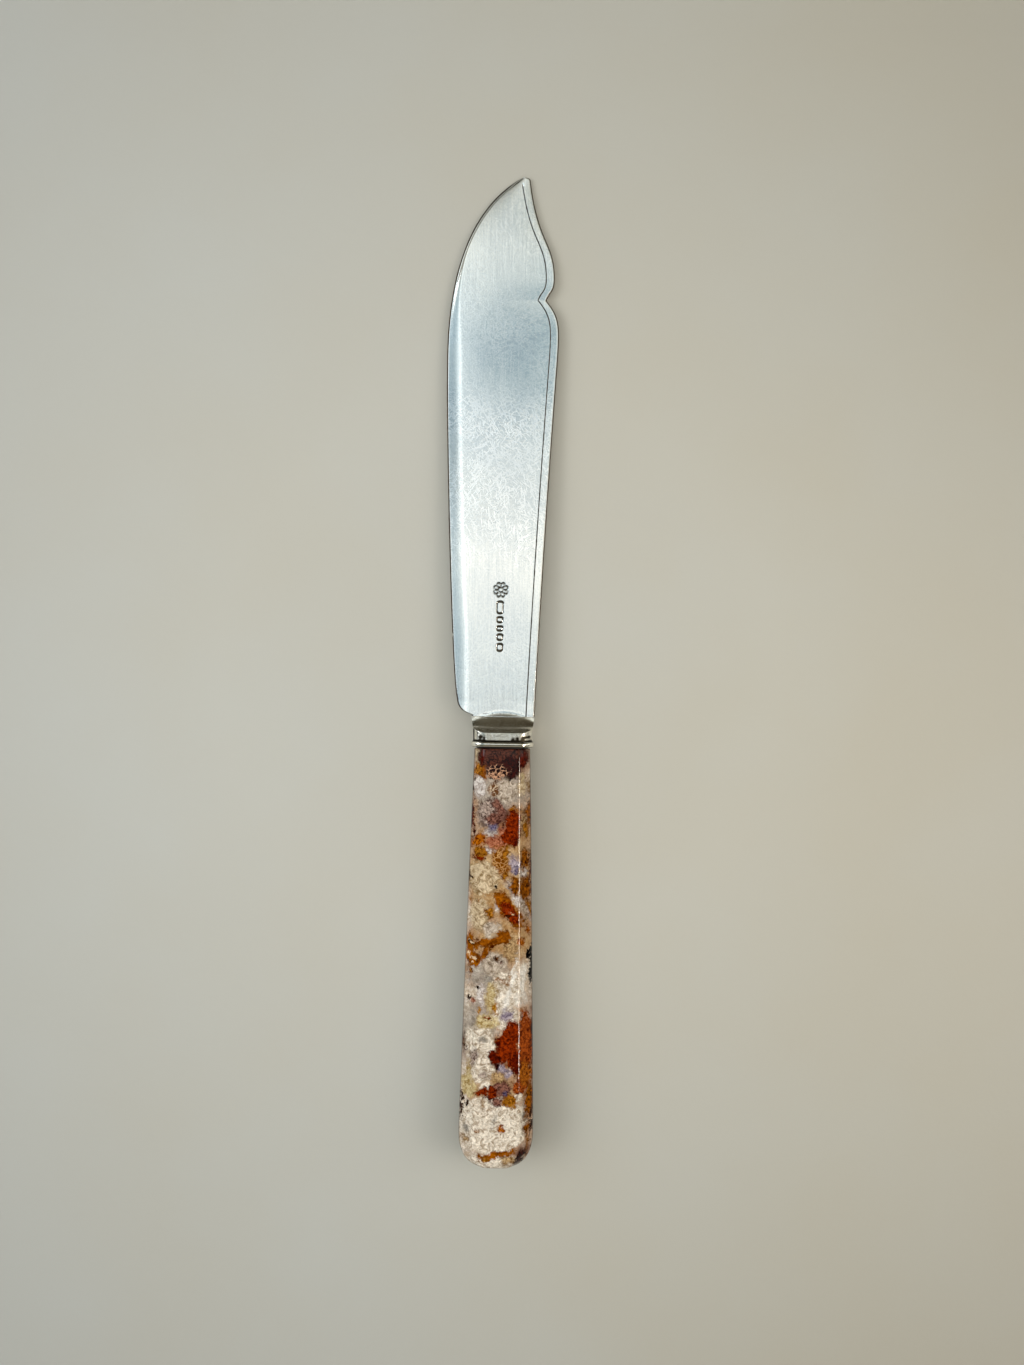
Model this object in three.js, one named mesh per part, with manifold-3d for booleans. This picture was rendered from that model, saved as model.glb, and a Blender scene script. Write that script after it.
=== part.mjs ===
import * as THREE from 'three';
import { mergeVertices } from 'three/addons/utils/BufferGeometryUtils.js';
import Module from 'manifold-3d';

// Table fish knife: a silver blade tongued into a coved silver bolster, a half-round bead round
// the bolster's rear, and an agate handle cemented on to a steel tang.
// Millimetres. The knife is modelled level: +Y runs to the tip, +X to the spine side, Y = 0 is the
// bolster's rear face and Z = 0 the middle plane of the blade. It is laid down at the end, resting
// on the bead and the tip as it does on a table.

// Film of solder or cement left open between two seated pieces
const seatGap = 0.1;

// Blade, outline seen from above; a reach is measured from the knife's axis
const bladeLength = 114.1;
const spineAtHeel = 6.65;
const bellyAtHeel = 9.8;
const bellyReach = 13.15;
const bellyWidestFromTip = 40.5;
const lobeReach = 10.3;
const lobeFromNotch = 12.45;
const notchReach = 7.7;
const notchFromCrest = 4.3;
const crestReach = 9.35;
const crestFromTip = 21.65;
const tipOffset = 2.5;
const tipFlat = 1.0;
const tipShoulder = 0.75;
const tipHalfWidth = 1.4;
const heelNeck = 0.15;
const heelRun = 3.3;
const spineSag = 0.2;

// How far each curve of the outline keeps the direction in which it starts or ends
const shoulderPull = 0.5;
const heelCornerAcross = 0.2;
const heelCornerAlong = 2.95;
const bellyHeelAcross = 1.3;
const bellyHeelAlong = 4.3;
const bellyLongPull = 13;
const sweepPull = 5.4;
const sweepTipAcross = 16.2;
const sweepTipAlong = 9.4;
const lobePull = 7.8;
const lobeRise = 0.42;
const lobeNotchAcross = 2.7;
const lobeNotchAlong = 3.25;
const crestNotchAcross = 0.5;
const crestNotchAlong = 1.8;
const crestPull = 2.4;
const backPull = 8.3;
const backTipAcross = 1.9;
const backTipAlong = 13.5;

// Blade, thickness and finish of its edges
const heelThickness = 2.2;
const tipThickness = 1.0;
const edgeThickness = 0.5;
const bevelAtHeel = 3.0;
const bevelAtBelly = 2.8;
const bevelStopFromTip = 14;
const edgeRound = 0.5;
const spineChamfer = 0.3;
const lineInset = 1.8;
const lineWidth = 0.3;
const lineDepth = 0.15;
const lineFromTip = 1.4;

// Largest shares of the blade's width, and of its half thickness, that these take near the tip
const bevelShare = 0.3;
const chamferShare = 0.2;
const chamferDepthShare = 0.5;
const lineShare = 0.1;

// Tongue on the blade's heel
const tongueWidth = 8;
const tongueThickness = 1.4;
const tongueLength = 2.4;

// Bolster
const bolsterLength = 6.3;
const bolsterWidth = 12.4;
const bolsterHeight = 8.4;
const bolsterCorner = 2.9;
const coveRadius = 5.5;
const coveRunout = 1.65;

// Bead round the bolster's rear
const beadWidth = 1.15;
const beadProud = 0.45;
const beadSeat = 0.6;

// Tang and the cement that holds it
const tangSide = 2.5;
const tangTipSide = 1.8;
const tangLength = 52;
const tangSeat = 2.8;
const cementWall = 0.4;
const cementBed = 0.15;
const cementBedInset = 0.4;

// Handle, an elongated octagon in section
const handleLength = 88.55;
const handleFrontWidth = 11.8;
const handleButtWidth = 16.1;
const handleFrontHeight = 8.0;
const handleButtHeight = 9.6;
const flatFrontWidth = 7.3;
const flatButtWidth = 9.9;
const sideFrontHeight = 3.4;
const sideButtHeight = 4.2;
const handleBow = 0.12;
const arrisRound = 0.8;
const buttLength = 9;
const buttCrown = 5;
const buttFullness = 2.6;

// Largest share of a facet that the softening of an arris takes at each end
const arrisShare = 0.4;

// Fineness of the facets
const curveSteps = 8;
const sweepSteps = 14;
const stationStep = 0.3;
const cornerSteps = 7;
const arrisSteps = 2;
const coveFacets = 96;
const boreFacets = 24;
const beadSteps = 6;
const bowSteps = 4;
const buttSteps = 7;
const buttLastTurn = 0.93;

// Places along the knife that several pieces share
const bladeStart = bolsterLength + seatGap;
const tipY = bladeStart + bladeLength;
const coveFootY = bolsterLength + coveRunout;
const heelEndY = bladeStart + heelNeck + heelRun;
const handleFrontY = -(2 * seatGap + cementBed);
const buttY = handleFrontY - handleLength;
const beadSeatY = beadWidth + seatGap;
const boreRadius = (tangSide / 2 + seatGap) * Math.SQRT2 + cementWall + seatGap;
const cementEndY = -(tangLength + seatGap + cementWall);

const { lerp, clamp, smoothstep } = THREE.MathUtils;
const point = (x, y) => new THREE.Vector2(x, y);

const wasm = await Module();
wasm.setup();

// A closed geometry as a solid for cutting and joining
function solid(geometry) {
  const bare = geometry.clone();
  bare.deleteAttribute('normal');
  bare.deleteAttribute('uv');
  const merged = mergeVertices(bare);
  return new wasm.Manifold(new wasm.Mesh({
    numProp: 3,
    vertProperties: new Float32Array(merged.attributes.position.array),
    triVerts: new Uint32Array(merged.index.array),
  }));
}

function geometryOf(body) {
  const { vertProperties, triVerts } = body.getMesh();
  const geometry = new THREE.BufferGeometry();
  geometry.setAttribute('position', new THREE.BufferAttribute(vertProperties, 3));
  geometry.setIndex(new THREE.BufferAttribute(triVerts, 1));
  geometry.computeVertexNormals();
  return geometry;
}

// Skin over sections that follow each other along +Y. Each section is { y, outline }, its outline
// running anticlockwise in X and Z, and all outlines having the same number of points.
function loft(sections) {
  const count = sections[0].outline.length;
  const positions = sections.flatMap(({ y, outline }) => outline.flatMap((p) => [p.x, y, p.y]));
  const index = [];
  for (let row = 0; row < sections.length - 1; row += 1) {
    for (let i = 0; i < count; i += 1) {
      const a = row * count + i;
      const b = row * count + (i + 1) % count;
      index.push(a, b + count, b, a, a + count, b + count);
    }
  }
  const last = (sections.length - 1) * count;
  for (const [a, b, c] of THREE.ShapeUtils.triangulateShape(sections[0].outline, [])) {
    index.push(a, b, c);
  }
  for (const [a, b, c] of THREE.ShapeUtils.triangulateShape(sections.at(-1).outline, [])) {
    index.push(last + c, last + b, last + a);
  }
  const geometry = new THREE.BufferGeometry();
  geometry.setAttribute('position', new THREE.Float32BufferAttribute(positions, 3));
  geometry.setIndex(index);
  return geometry;
}

// The same outline carried straight from one place to another
function prism(outline, fromY, toY) {
  return loft([{ y: fromY, outline }, { y: toY, outline }]);
}

function rectangle(width, height) {
  const x = width / 2;
  const z = height / 2;
  return [point(-x, -z), point(x, -z), point(x, z), point(-x, z)];
}

function roundedRectangle(width, height, radius) {
  const centres = rectangle(width - 2 * radius, height - 2 * radius);
  return centres.flatMap((centre, corner) => {
    const start = Math.PI + corner * Math.PI / 2;
    return Array.from({ length: cornerSteps + 1 }, (_, k) => {
      const angle = start + k / cornerSteps * Math.PI / 2;
      return point(centre.x + radius * Math.cos(angle), centre.y + radius * Math.sin(angle));
    });
  });
}

// A polygon whose corners are softened by short curves that start a set length before each corner
function softPolygon(corners, softness) {
  return corners.flatMap((corner, i) => {
    const before = corners.at(i - 1);
    const after = corners[(i + 1) % corners.length];
    const cut = (other) => {
      const share = Math.min(softness / corner.distanceTo(other), arrisShare);
      return corner.clone().lerp(other, share);
    };
    return new THREE.QuadraticBezierCurve(cut(before), corner, cut(after)).getPoints(arrisSteps);
  });
}

// Outline of the blade, as curves from the heel to the tip; x is the reach, y runs along the knife
const widestY = tipY - bellyWidestFromTip;
const crestY = tipY - crestFromTip;
const notchY = crestY - notchFromCrest;
const lobeY = notchY - lobeFromNotch;
const tipBelly = point(tipOffset - tipFlat / 2, tipY);
const tipSpine = point(tipOffset + tipFlat / 2, tipY);
const tipEdge = point(tipOffset + tipHalfWidth, tipY - tipShoulder);
const shoulder = point(-spineAtHeel, bladeStart + heelNeck);
const bellyHeel = point(-bellyAtHeel, heelEndY);
const widest = point(-bellyReach, widestY);
const heelSpine = point(spineAtHeel, bladeStart);
const lobe = point(lobeReach, lobeY);
const notch = point(notchReach, notchY);
const crest = point(crestReach, crestY);

const bezier = (...points) => new THREE.CubicBezierCurve(...points);

const bellyCurves = [
  [new THREE.LineCurve(point(-spineAtHeel, bladeStart), shoulder), 1],
  [bezier(
    shoulder,
    point(shoulder.x, shoulder.y + shoulderPull),
    point(bellyHeel.x + heelCornerAcross, bellyHeel.y - heelCornerAlong),
    bellyHeel,
  ), curveSteps],
  [bezier(
    bellyHeel,
    point(bellyHeel.x - bellyHeelAcross, bellyHeel.y + bellyHeelAlong),
    point(widest.x, widest.y - bellyLongPull),
    widest,
  ), curveSteps],
  [bezier(
    widest,
    point(widest.x, widest.y + sweepPull),
    point(tipBelly.x - sweepTipAcross, tipBelly.y - sweepTipAlong),
    tipBelly,
  ), sweepSteps],
];
const spineMiddle = heelSpine.clone().lerp(lobe, 0.5);
const spineCurves = [
  [new THREE.QuadraticBezierCurve(
    heelSpine,
    point(spineMiddle.x - 2 * spineSag, spineMiddle.y),
    lobe,
  ), curveSteps],
  [bezier(
    lobe,
    point(lobe.x + lobeRise, lobe.y + lobePull),
    point(notch.x + lobeNotchAcross, notch.y - lobeNotchAlong),
    notch,
  ), curveSteps],
  [bezier(
    notch,
    point(notch.x + crestNotchAcross, notch.y + crestNotchAlong),
    point(crest.x, crest.y - crestPull),
    crest,
  ), curveSteps],
  [bezier(
    crest,
    point(crest.x, crest.y + backPull),
    point(tipEdge.x + backTipAcross, tipEdge.y - backTipAlong),
    tipEdge,
  ), sweepSteps],
  [new THREE.QuadraticBezierCurve(tipEdge, point(tipEdge.x, tipSpine.y), tipSpine), curveSteps / 2],
];

function edgePoints(curves) {
  const points = curves.flatMap(([curve, steps], i) => curve.getPoints(steps).slice(i ? 1 : 0));
  return points.map((p) => point(p.x, clamp(p.y, bladeStart, tipY)));
}

function reachAt(edge, y) {
  const next = Math.max(1, edge.findIndex((p) => p.y >= y));
  const [a, b] = [edge[next - 1], edge[next]];
  return lerp(a.x, b.x, b.y > a.y ? (y - a.y) / (b.y - a.y) : 1);
}

const bellyEdge = edgePoints(bellyCurves);
const spineEdge = edgePoints(spineCurves);

// Height of the cove above the blade's flat; the blade's heel swells with it into the bolster
function coveRise(y) {
  const inside = clamp(coveFootY - y, 0, coveRadius);
  return coveRadius - Math.sqrt(coveRadius ** 2 - inside ** 2);
}

function bladeHalf(y) {
  return lerp(heelThickness, tipThickness, (y - bladeStart) / bladeLength) / 2;
}

// Width of the bevel along the belly: wide at the heel, run out to a rounded edge towards the tip
function bevelWidth(y) {
  if (y < widestY) {
    return lerp(bevelAtHeel, bevelAtBelly, (y - heelEndY) / (widestY - heelEndY));
  }
  return lerp(bevelAtBelly, edgeRound, smoothstep(y, widestY, tipY - bevelStopFromTip));
}

function bladeSection(y) {
  const belly = reachAt(bellyEdge, y);
  const spine = reachAt(spineEdge, y);
  const width = spine - belly;
  const top = bladeHalf(y) + coveRise(y);
  const chamfer = Math.min(spineChamfer, chamferShare * width, chamferDepthShare * top);
  const heelShare = clamp((heelEndY - y) / (heelEndY - bladeStart), 0, 1);
  const bevelInset = Math.min(bevelWidth(y), bevelShare * width);
  const bevelLine = heelShare > 0 ? bevelAtHeel - bellyAtHeel : belly + bevelInset;
  const bevel = lerp(bevelLine, spineChamfer - spineAtHeel, heelShare);
  const edge = lerp(edgeThickness / 2, top - chamfer, heelShare);
  const lineHalf = Math.min(lineWidth / 2, lineShare * width);
  const line = Math.max(spine - lineInset, (belly + spine) / 2);
  const depth = y < tipY - lineFromTip ? lineDepth : 0;
  return {
    y,
    outline: [
      point(belly, -edge),
      point(bevel, -top),
      point(spine - chamfer, -top),
      point(spine, chamfer - top),
      point(spine, top - chamfer),
      point(spine - chamfer, top),
      point(line + lineHalf, top),
      point(line, top - depth),
      point(line - lineHalf, top),
      point(bevel, top),
      point(belly, edge),
    ],
  };
}

// Stations close enough to follow both edges, with every corner of the outline among them
function bladeStations() {
  const corners = [bladeStart, shoulder.y, heelEndY, notchY, tipY];
  const wanted = [...bellyEdge, ...spineEdge].map((p) => p.y).sort((a, b) => a - b);
  const between = wanted.filter((y) => corners.every((corner) => Math.abs(corner - y) > stationStep));
  const spaced = between.filter((y, i) => i === 0 || y - between[i - 1] > stationStep / 2);
  return [...corners, ...spaced].sort((a, b) => a - b);
}

function makeBlade() {
  const leaf = solid(loft(bladeStations().map(bladeSection)));
  const tongueRoot = bladeStart + tongueLength / 2;
  const tongue = prism(rectangle(tongueWidth, tongueThickness), bladeStart - tongueLength, tongueRoot);
  return geometryOf(leaf.add(solid(tongue)));
}

function bolsterOutline(grow) {
  return roundedRectangle(bolsterWidth + 2 * grow, bolsterHeight + 2 * grow, bolsterCorner + grow);
}

// Solid block with a rebate for the bead, sides flaring to the blade's heel, the coves cut above and
// below the blade, a mortise for the tongue and a socket for the tang
function makeBolster() {
  const coveBase = bladeHalf(coveFootY);
  const ridgeRise = bolsterHeight / 2 - coveBase;
  const ridgeY = coveFootY - Math.sqrt(coveRadius ** 2 - (coveRadius - ridgeRise) ** 2);
  const seat = bolsterOutline(-beadSeat);
  const neck = bolsterOutline(0);
  const front = roundedRectangle(2 * spineAtHeel, bolsterHeight, bolsterCorner);
  const block = loft([
    { y: 0, outline: seat },
    { y: beadSeatY, outline: seat },
    { y: beadSeatY, outline: neck },
    { y: ridgeY, outline: neck },
    { y: bolsterLength, outline: front },
  ]);
  const cove = new THREE.CylinderGeometry(coveRadius, coveRadius, 4 * spineAtHeel, coveFacets);
  cove.rotateZ(Math.PI / 2);
  const upper = solid(cove.clone().translate(0, coveFootY, coveBase + coveRadius));
  const lower = solid(cove.clone().translate(0, coveFootY, -coveBase - coveRadius));
  const mortise = solid(prism(
    rectangle(tongueWidth + 2 * seatGap, tongueThickness + 2 * seatGap),
    bladeStart - tongueLength - seatGap,
    bolsterLength + seatGap,
  ));
  const socketSide = tangSide + 2 * seatGap;
  const socket = solid(prism(rectangle(socketSide, socketSide), -seatGap, tangSeat));
  return geometryOf(solid(block).subtract(upper).subtract(lower).subtract(mortise).subtract(socket));
}

// Half-round wire bent round the bolster's rebate
function makeBead() {
  const sections = Array.from({ length: beadSteps + 1 }, (_, k) => {
    const turn = (k / beadSteps - 0.5) * Math.PI;
    return {
      y: beadWidth / 2 * (1 + Math.sin(turn)),
      outline: bolsterOutline(beadProud * Math.cos(turn)),
    };
  });
  const hole = prism(bolsterOutline(seatGap - beadSeat), -beadWidth, 2 * beadWidth);
  return geometryOf(solid(loft(sections)).subtract(solid(hole)));
}

// Square spike, tapered inside the handle; room widens it and lengthens its tip
function tangSpike(room) {
  const root = rectangle(tangSide + 2 * room, tangSide + 2 * room);
  const tip = rectangle(tangTipSide + 2 * room, tangTipSide + 2 * room);
  return loft([
    { y: -tangLength - room, outline: tip },
    { y: 0, outline: root },
    { y: tangSeat - seatGap, outline: root },
  ]);
}

// Cement poured round the tang, with a thin bed under the bolster
function makeCement() {
  const front = handleSection(handleFrontY, 1, 1);
  const across = 1 - 2 * cementBedInset / handleFrontWidth;
  const up = 1 - 2 * cementBedInset / handleFrontHeight;
  const bedOutline = front.outline.map((p) => point(p.x * across, p.y * up));
  const bed = prism(bedOutline, -seatGap - cementBed, -seatGap);
  const plugEnd = -seatGap - cementBed / 2;
  const plug = new THREE.CylinderGeometry(
    boreRadius - seatGap,
    boreRadius - seatGap,
    plugEnd - cementEndY,
    boreFacets,
  );
  plug.translate(0, (plugEnd + cementEndY) / 2, 0);
  return geometryOf(solid(bed).add(solid(plug)).subtract(solid(tangSpike(seatGap))));
}

// Section of the handle; widthShare and heightShare draw it in round the butt
function handleSection(y, widthShare, heightShare) {
  const along = (handleFrontY - y) / handleLength;
  const bow = handleBow * 4 * along * (1 - along);
  const half = widthShare * (lerp(handleFrontWidth, handleButtWidth, along) / 2 + bow);
  const flat = widthShare * lerp(flatFrontWidth, flatButtWidth, along) / 2;
  const top = heightShare * lerp(handleFrontHeight, handleButtHeight, along) / 2;
  const side = heightShare * lerp(sideFrontHeight, sideButtHeight, along) / 2;
  const corners = [
    point(-flat, -top),
    point(flat, -top),
    point(half, -side),
    point(half, side),
    point(flat, top),
    point(-flat, top),
    point(-half, side),
    point(-half, -side),
  ];
  return { y, outline: softPolygon(corners, arrisRound * Math.min(widthShare, heightShare)) };
}

// How much of its size a rounded end keeps at a given depth into its rounding
function endShare(depth) {
  return (1 - clamp(depth, 0, 1) ** buttFullness) ** (1 / buttFullness);
}

function makeHandle() {
  const deepest = Math.sin(buttLastTurn * Math.PI / 2) ** (2 / buttFullness);
  const butt = Array.from({ length: buttSteps }, (_, k) => {
    const turn = buttLastTurn * (buttSteps - k) / buttSteps * Math.PI / 2;
    const depth = Math.sin(turn) ** (2 / buttFullness);
    const fromEnd = buttLength * (1 - depth / deepest);
    return handleSection(buttY + fromEnd, endShare(depth), endShare(depth - depth * fromEnd / buttCrown));
  });
  const buttStartY = buttY + buttLength;
  const shaft = Array.from({ length: bowSteps + 1 }, (_, k) => (
    handleSection(lerp(buttStartY, handleFrontY, k / bowSteps), 1, 1)
  ));
  const bore = new THREE.CylinderGeometry(boreRadius, boreRadius, -cementEndY + 2 * seatGap, boreFacets);
  bore.translate(0, cementEndY / 2, 0);
  return geometryOf(solid(loft([...butt, ...shaft])).subtract(solid(bore)));
}

const silver = { color: 0xc9cbc9, roughness: 0.28, metalness: 1 };
const finishes = {
  blade: silver,
  bolster: { ...silver, color: 0xb9b6a8 },
  collar_bead: { ...silver, color: 0xd2cfc4 },
  tang: { color: 0x6b6d70, roughness: 0.5, metalness: 1 },
  tang_cement: { color: 0x3a2c22, roughness: 0.9, metalness: 0 },
  handle: { color: 0xc4a58c, roughness: 0.15, metalness: 0 },
};
const pieces = {
  blade: makeBlade(),
  bolster: makeBolster(),
  collar_bead: makeBead(),
  tang: tangSpike(0),
  tang_cement: makeCement(),
  handle: makeHandle(),
};

// Laid on a table the knife tips forward, because the silver outweighs the stone
const knife = new THREE.Group();
for (const [name, geometry] of Object.entries(pieces)) {
  const mesh = new THREE.Mesh(geometry, new THREE.MeshStandardMaterial(finishes[name]));
  mesh.name = name;
  knife.add(mesh);
}
const beadDrop = bolsterHeight / 2 + beadProud - tipThickness / 2;
knife.rotation.x = -Math.atan(beadDrop / (tipY - beadWidth / 2));

// Origin under the middle of the knife, on the table
const part = new THREE.Group();
part.add(knife);
part.updateMatrixWorld(true);
const extent = new THREE.Box3().setFromObject(part, true);
const middle = extent.getCenter(new THREE.Vector3());
knife.position.set(-middle.x, -middle.y, -extent.min.z);

export default part;
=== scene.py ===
import bisect
import math

import bmesh
import bpy
from mathutils import Matrix, Vector


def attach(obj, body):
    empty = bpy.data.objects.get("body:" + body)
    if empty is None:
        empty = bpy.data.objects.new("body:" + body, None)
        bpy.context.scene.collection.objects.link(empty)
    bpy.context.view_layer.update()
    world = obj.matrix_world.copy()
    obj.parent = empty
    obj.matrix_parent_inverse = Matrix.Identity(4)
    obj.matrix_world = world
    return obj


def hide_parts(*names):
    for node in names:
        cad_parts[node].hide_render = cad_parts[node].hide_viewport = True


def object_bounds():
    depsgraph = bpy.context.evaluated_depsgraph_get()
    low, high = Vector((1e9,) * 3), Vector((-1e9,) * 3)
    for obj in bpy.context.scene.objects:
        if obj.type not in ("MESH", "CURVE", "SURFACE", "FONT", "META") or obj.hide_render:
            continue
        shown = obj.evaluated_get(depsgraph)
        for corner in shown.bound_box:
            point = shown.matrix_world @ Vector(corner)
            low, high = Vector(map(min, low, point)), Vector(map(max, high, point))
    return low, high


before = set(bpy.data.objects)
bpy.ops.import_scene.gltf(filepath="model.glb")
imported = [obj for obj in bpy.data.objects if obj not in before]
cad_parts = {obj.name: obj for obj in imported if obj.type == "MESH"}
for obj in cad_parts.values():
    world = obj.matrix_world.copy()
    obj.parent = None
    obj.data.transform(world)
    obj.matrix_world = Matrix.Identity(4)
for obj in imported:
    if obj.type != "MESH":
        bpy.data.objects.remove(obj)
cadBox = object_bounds()
scene = bpy.context.scene
mm = 0.001
print("frame loaded:", ", ".join(sorted(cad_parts)))


# sRGB hex to the linear colour that shaders and lights take
def linear(hexColour):
    channels = [int(hexColour[i:i + 2], 16) / 255 for i in (1, 3, 5)]
    return [c / 12.92 if c <= 0.04045 else ((c + 0.055) / 1.055) ** 2.4 for c in channels] + [1.0]


# Adds a node; links maps an input's name or number to another node's output or to a plain value
def addNode(tree, kind, links=None, stops=None, **settings):
    node = tree.nodes.new(kind)
    for key, value in settings.items():
        setattr(node, key, value)
    for key, value in (links or {}).items():
        if isinstance(value, bpy.types.NodeSocket):
            tree.links.new(value, node.inputs[key])
        else:
            node.inputs[key].default_value = value
    for number, (position, hexColour) in enumerate(stops or []):
        spots = node.color_ramp.elements
        spot = spots[number] if number < 2 else spots.new(position)
        spot.position = position
        spot.color = linear(hexColour)
    return node


def newMaterial(name):
    material = bpy.data.materials.new(name)
    material.use_nodes = True
    material.node_tree.nodes.clear()
    return material, material.node_tree


def mix(a, b, share):
    return a + (b - a) * share


def clamp(value, low=0.0, high=1.0):
    return max(low, min(high, value))


def smooth(low, high, value):
    t = clamp((value - low) / (high - low))
    return t * t * (3 - 2 * t)


# Lower of two heights, with the corner between them rounded off
def softMin(a, b, blend):
    h = clamp(0.5 + 0.5 * (b - a) / blend)
    return mix(b, a, h) - blend * h * (1 - h)


# The knife's own frame in millimetres: +Y to the tip, +X to the notched back, Z out of the blade's face.
# The tang lies along its Y axis, and the bead's rear face is at Y = 0.
def nodePoints(name):
    return [v.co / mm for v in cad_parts[name].data.vertices]


tangPoints = nodePoints("tang")
tangReach = sorted(p.y for p in tangPoints)
endZone = 1.0  # millimetres; points within it of an end of the tang belong to that end
rearPoints = [p for p in tangPoints if p.y < tangReach[0] + endZone]
frontPoints = [p for p in tangPoints if p.y > tangReach[-1] - endZone]
tangRear = sum(rearPoints, Vector()) / len(rearPoints)
tangFront = sum(frontPoints, Vector()) / len(frontPoints)
tangLine = tangFront - tangRear
knifeTurn = Matrix.Rotation(math.atan2(tangLine.z, tangLine.y), 3, "X")
onTang = knifeTurn.inverted() @ tangRear
beadRear = min((knifeTurn.inverted() @ p).y for p in nodePoints("collar_bead"))
knifeOrigin = knifeTurn @ Vector((onTang.x, beadRear, onTang.z))
knifePlace = Matrix.Translation(knifeOrigin * mm) @ knifeTurn.to_4x4() @ Matrix.Scale(mm, 4)


def knifeBox(name):
    points = [knifePlace.inverted() @ v.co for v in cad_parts[name].data.vertices]
    low = Vector([min(p[axis] for p in points) for axis in range(3)])
    high = Vector([max(p[axis] for p in points) for axis in range(3)])
    return low, high


weldWithin = 0.0005  # millimetres; points nearer than this are one point


# A skin over rings of (x, y, z, grime) points in knife millimetres. The rings are joined in a loop or capped.
# Each point keeps its knife millimetres and its grime for the material: tarnish and painted shade.
def makePiece(name, rings, node, material, sharp=35, looped=False):
    count = len(rings[0])
    points = [p for ring in rings for p in ring]
    faces = []
    for row in range(len(rings) if looped else len(rings) - 1):
        below = row * count
        above = (row + 1) % len(rings) * count
        for i in range(count):
            j = (i + 1) % count
            faces.append((below + i, below + j, above + j, above + i))
    if not looped:
        faces.append(tuple(range(count - 1, -1, -1)))
        faces.append(tuple(range(len(points) - count, len(points))))
    mesh = bpy.data.meshes.new(name)
    mesh.from_pydata([knifePlace @ Vector(p[:3]) for p in points], [], faces)
    place = mesh.attributes.new("knife", "FLOAT_VECTOR", "POINT")
    place.data.foreach_set("vector", [c for p in points for c in p[:3]])
    grimeAndShade = mesh.attributes.new("grimeAndShade", "FLOAT", "POINT")
    grimeAndShade.data.foreach_set("value", [p[3] for p in points])
    tool = bmesh.new()
    tool.from_mesh(mesh)
    bmesh.ops.remove_doubles(tool, verts=tool.verts, dist=weldWithin * mm)
    bmesh.ops.dissolve_degenerate(tool, edges=tool.edges, dist=weldWithin * mm)
    bmesh.ops.recalc_face_normals(tool, faces=tool.faces)
    tool.to_mesh(mesh)
    tool.free()
    mesh.shade_smooth()
    mesh.set_sharp_from_angle(angle=math.radians(sharp))
    piece = bpy.data.objects.new(name, mesh)
    scene.collection.objects.link(piece)
    mesh.materials.append(material)
    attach(piece, "root")
    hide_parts(node)
    print(name, "made:", len(mesh.vertices), "points")
    return piece


# How the patterns of all the silver mix
silverMix = {
    "layerShift": (7.3, 3.1, 5.7),   # moves each layer of scratches to another part of the noise
    "crestWidth": 0.12,
    "patchFrom": 0.35, "patchTo": 0.65, "patchLeast": 0.4,
    "wornFrom": 0.6, "wornTo": 1.4,
    "speckleShare": 0.6, "brushShare": 0.45, "cloudFrom": 0.8, "cloudTo": 1.25,
    "dirtAndShadeFrom": 0.3, "dirtAndShadeTo": 0.7, "dirtAndShadeRough": 0.3,
    "brushFrom": 0.3, "brushTo": 0.7,
}
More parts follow.
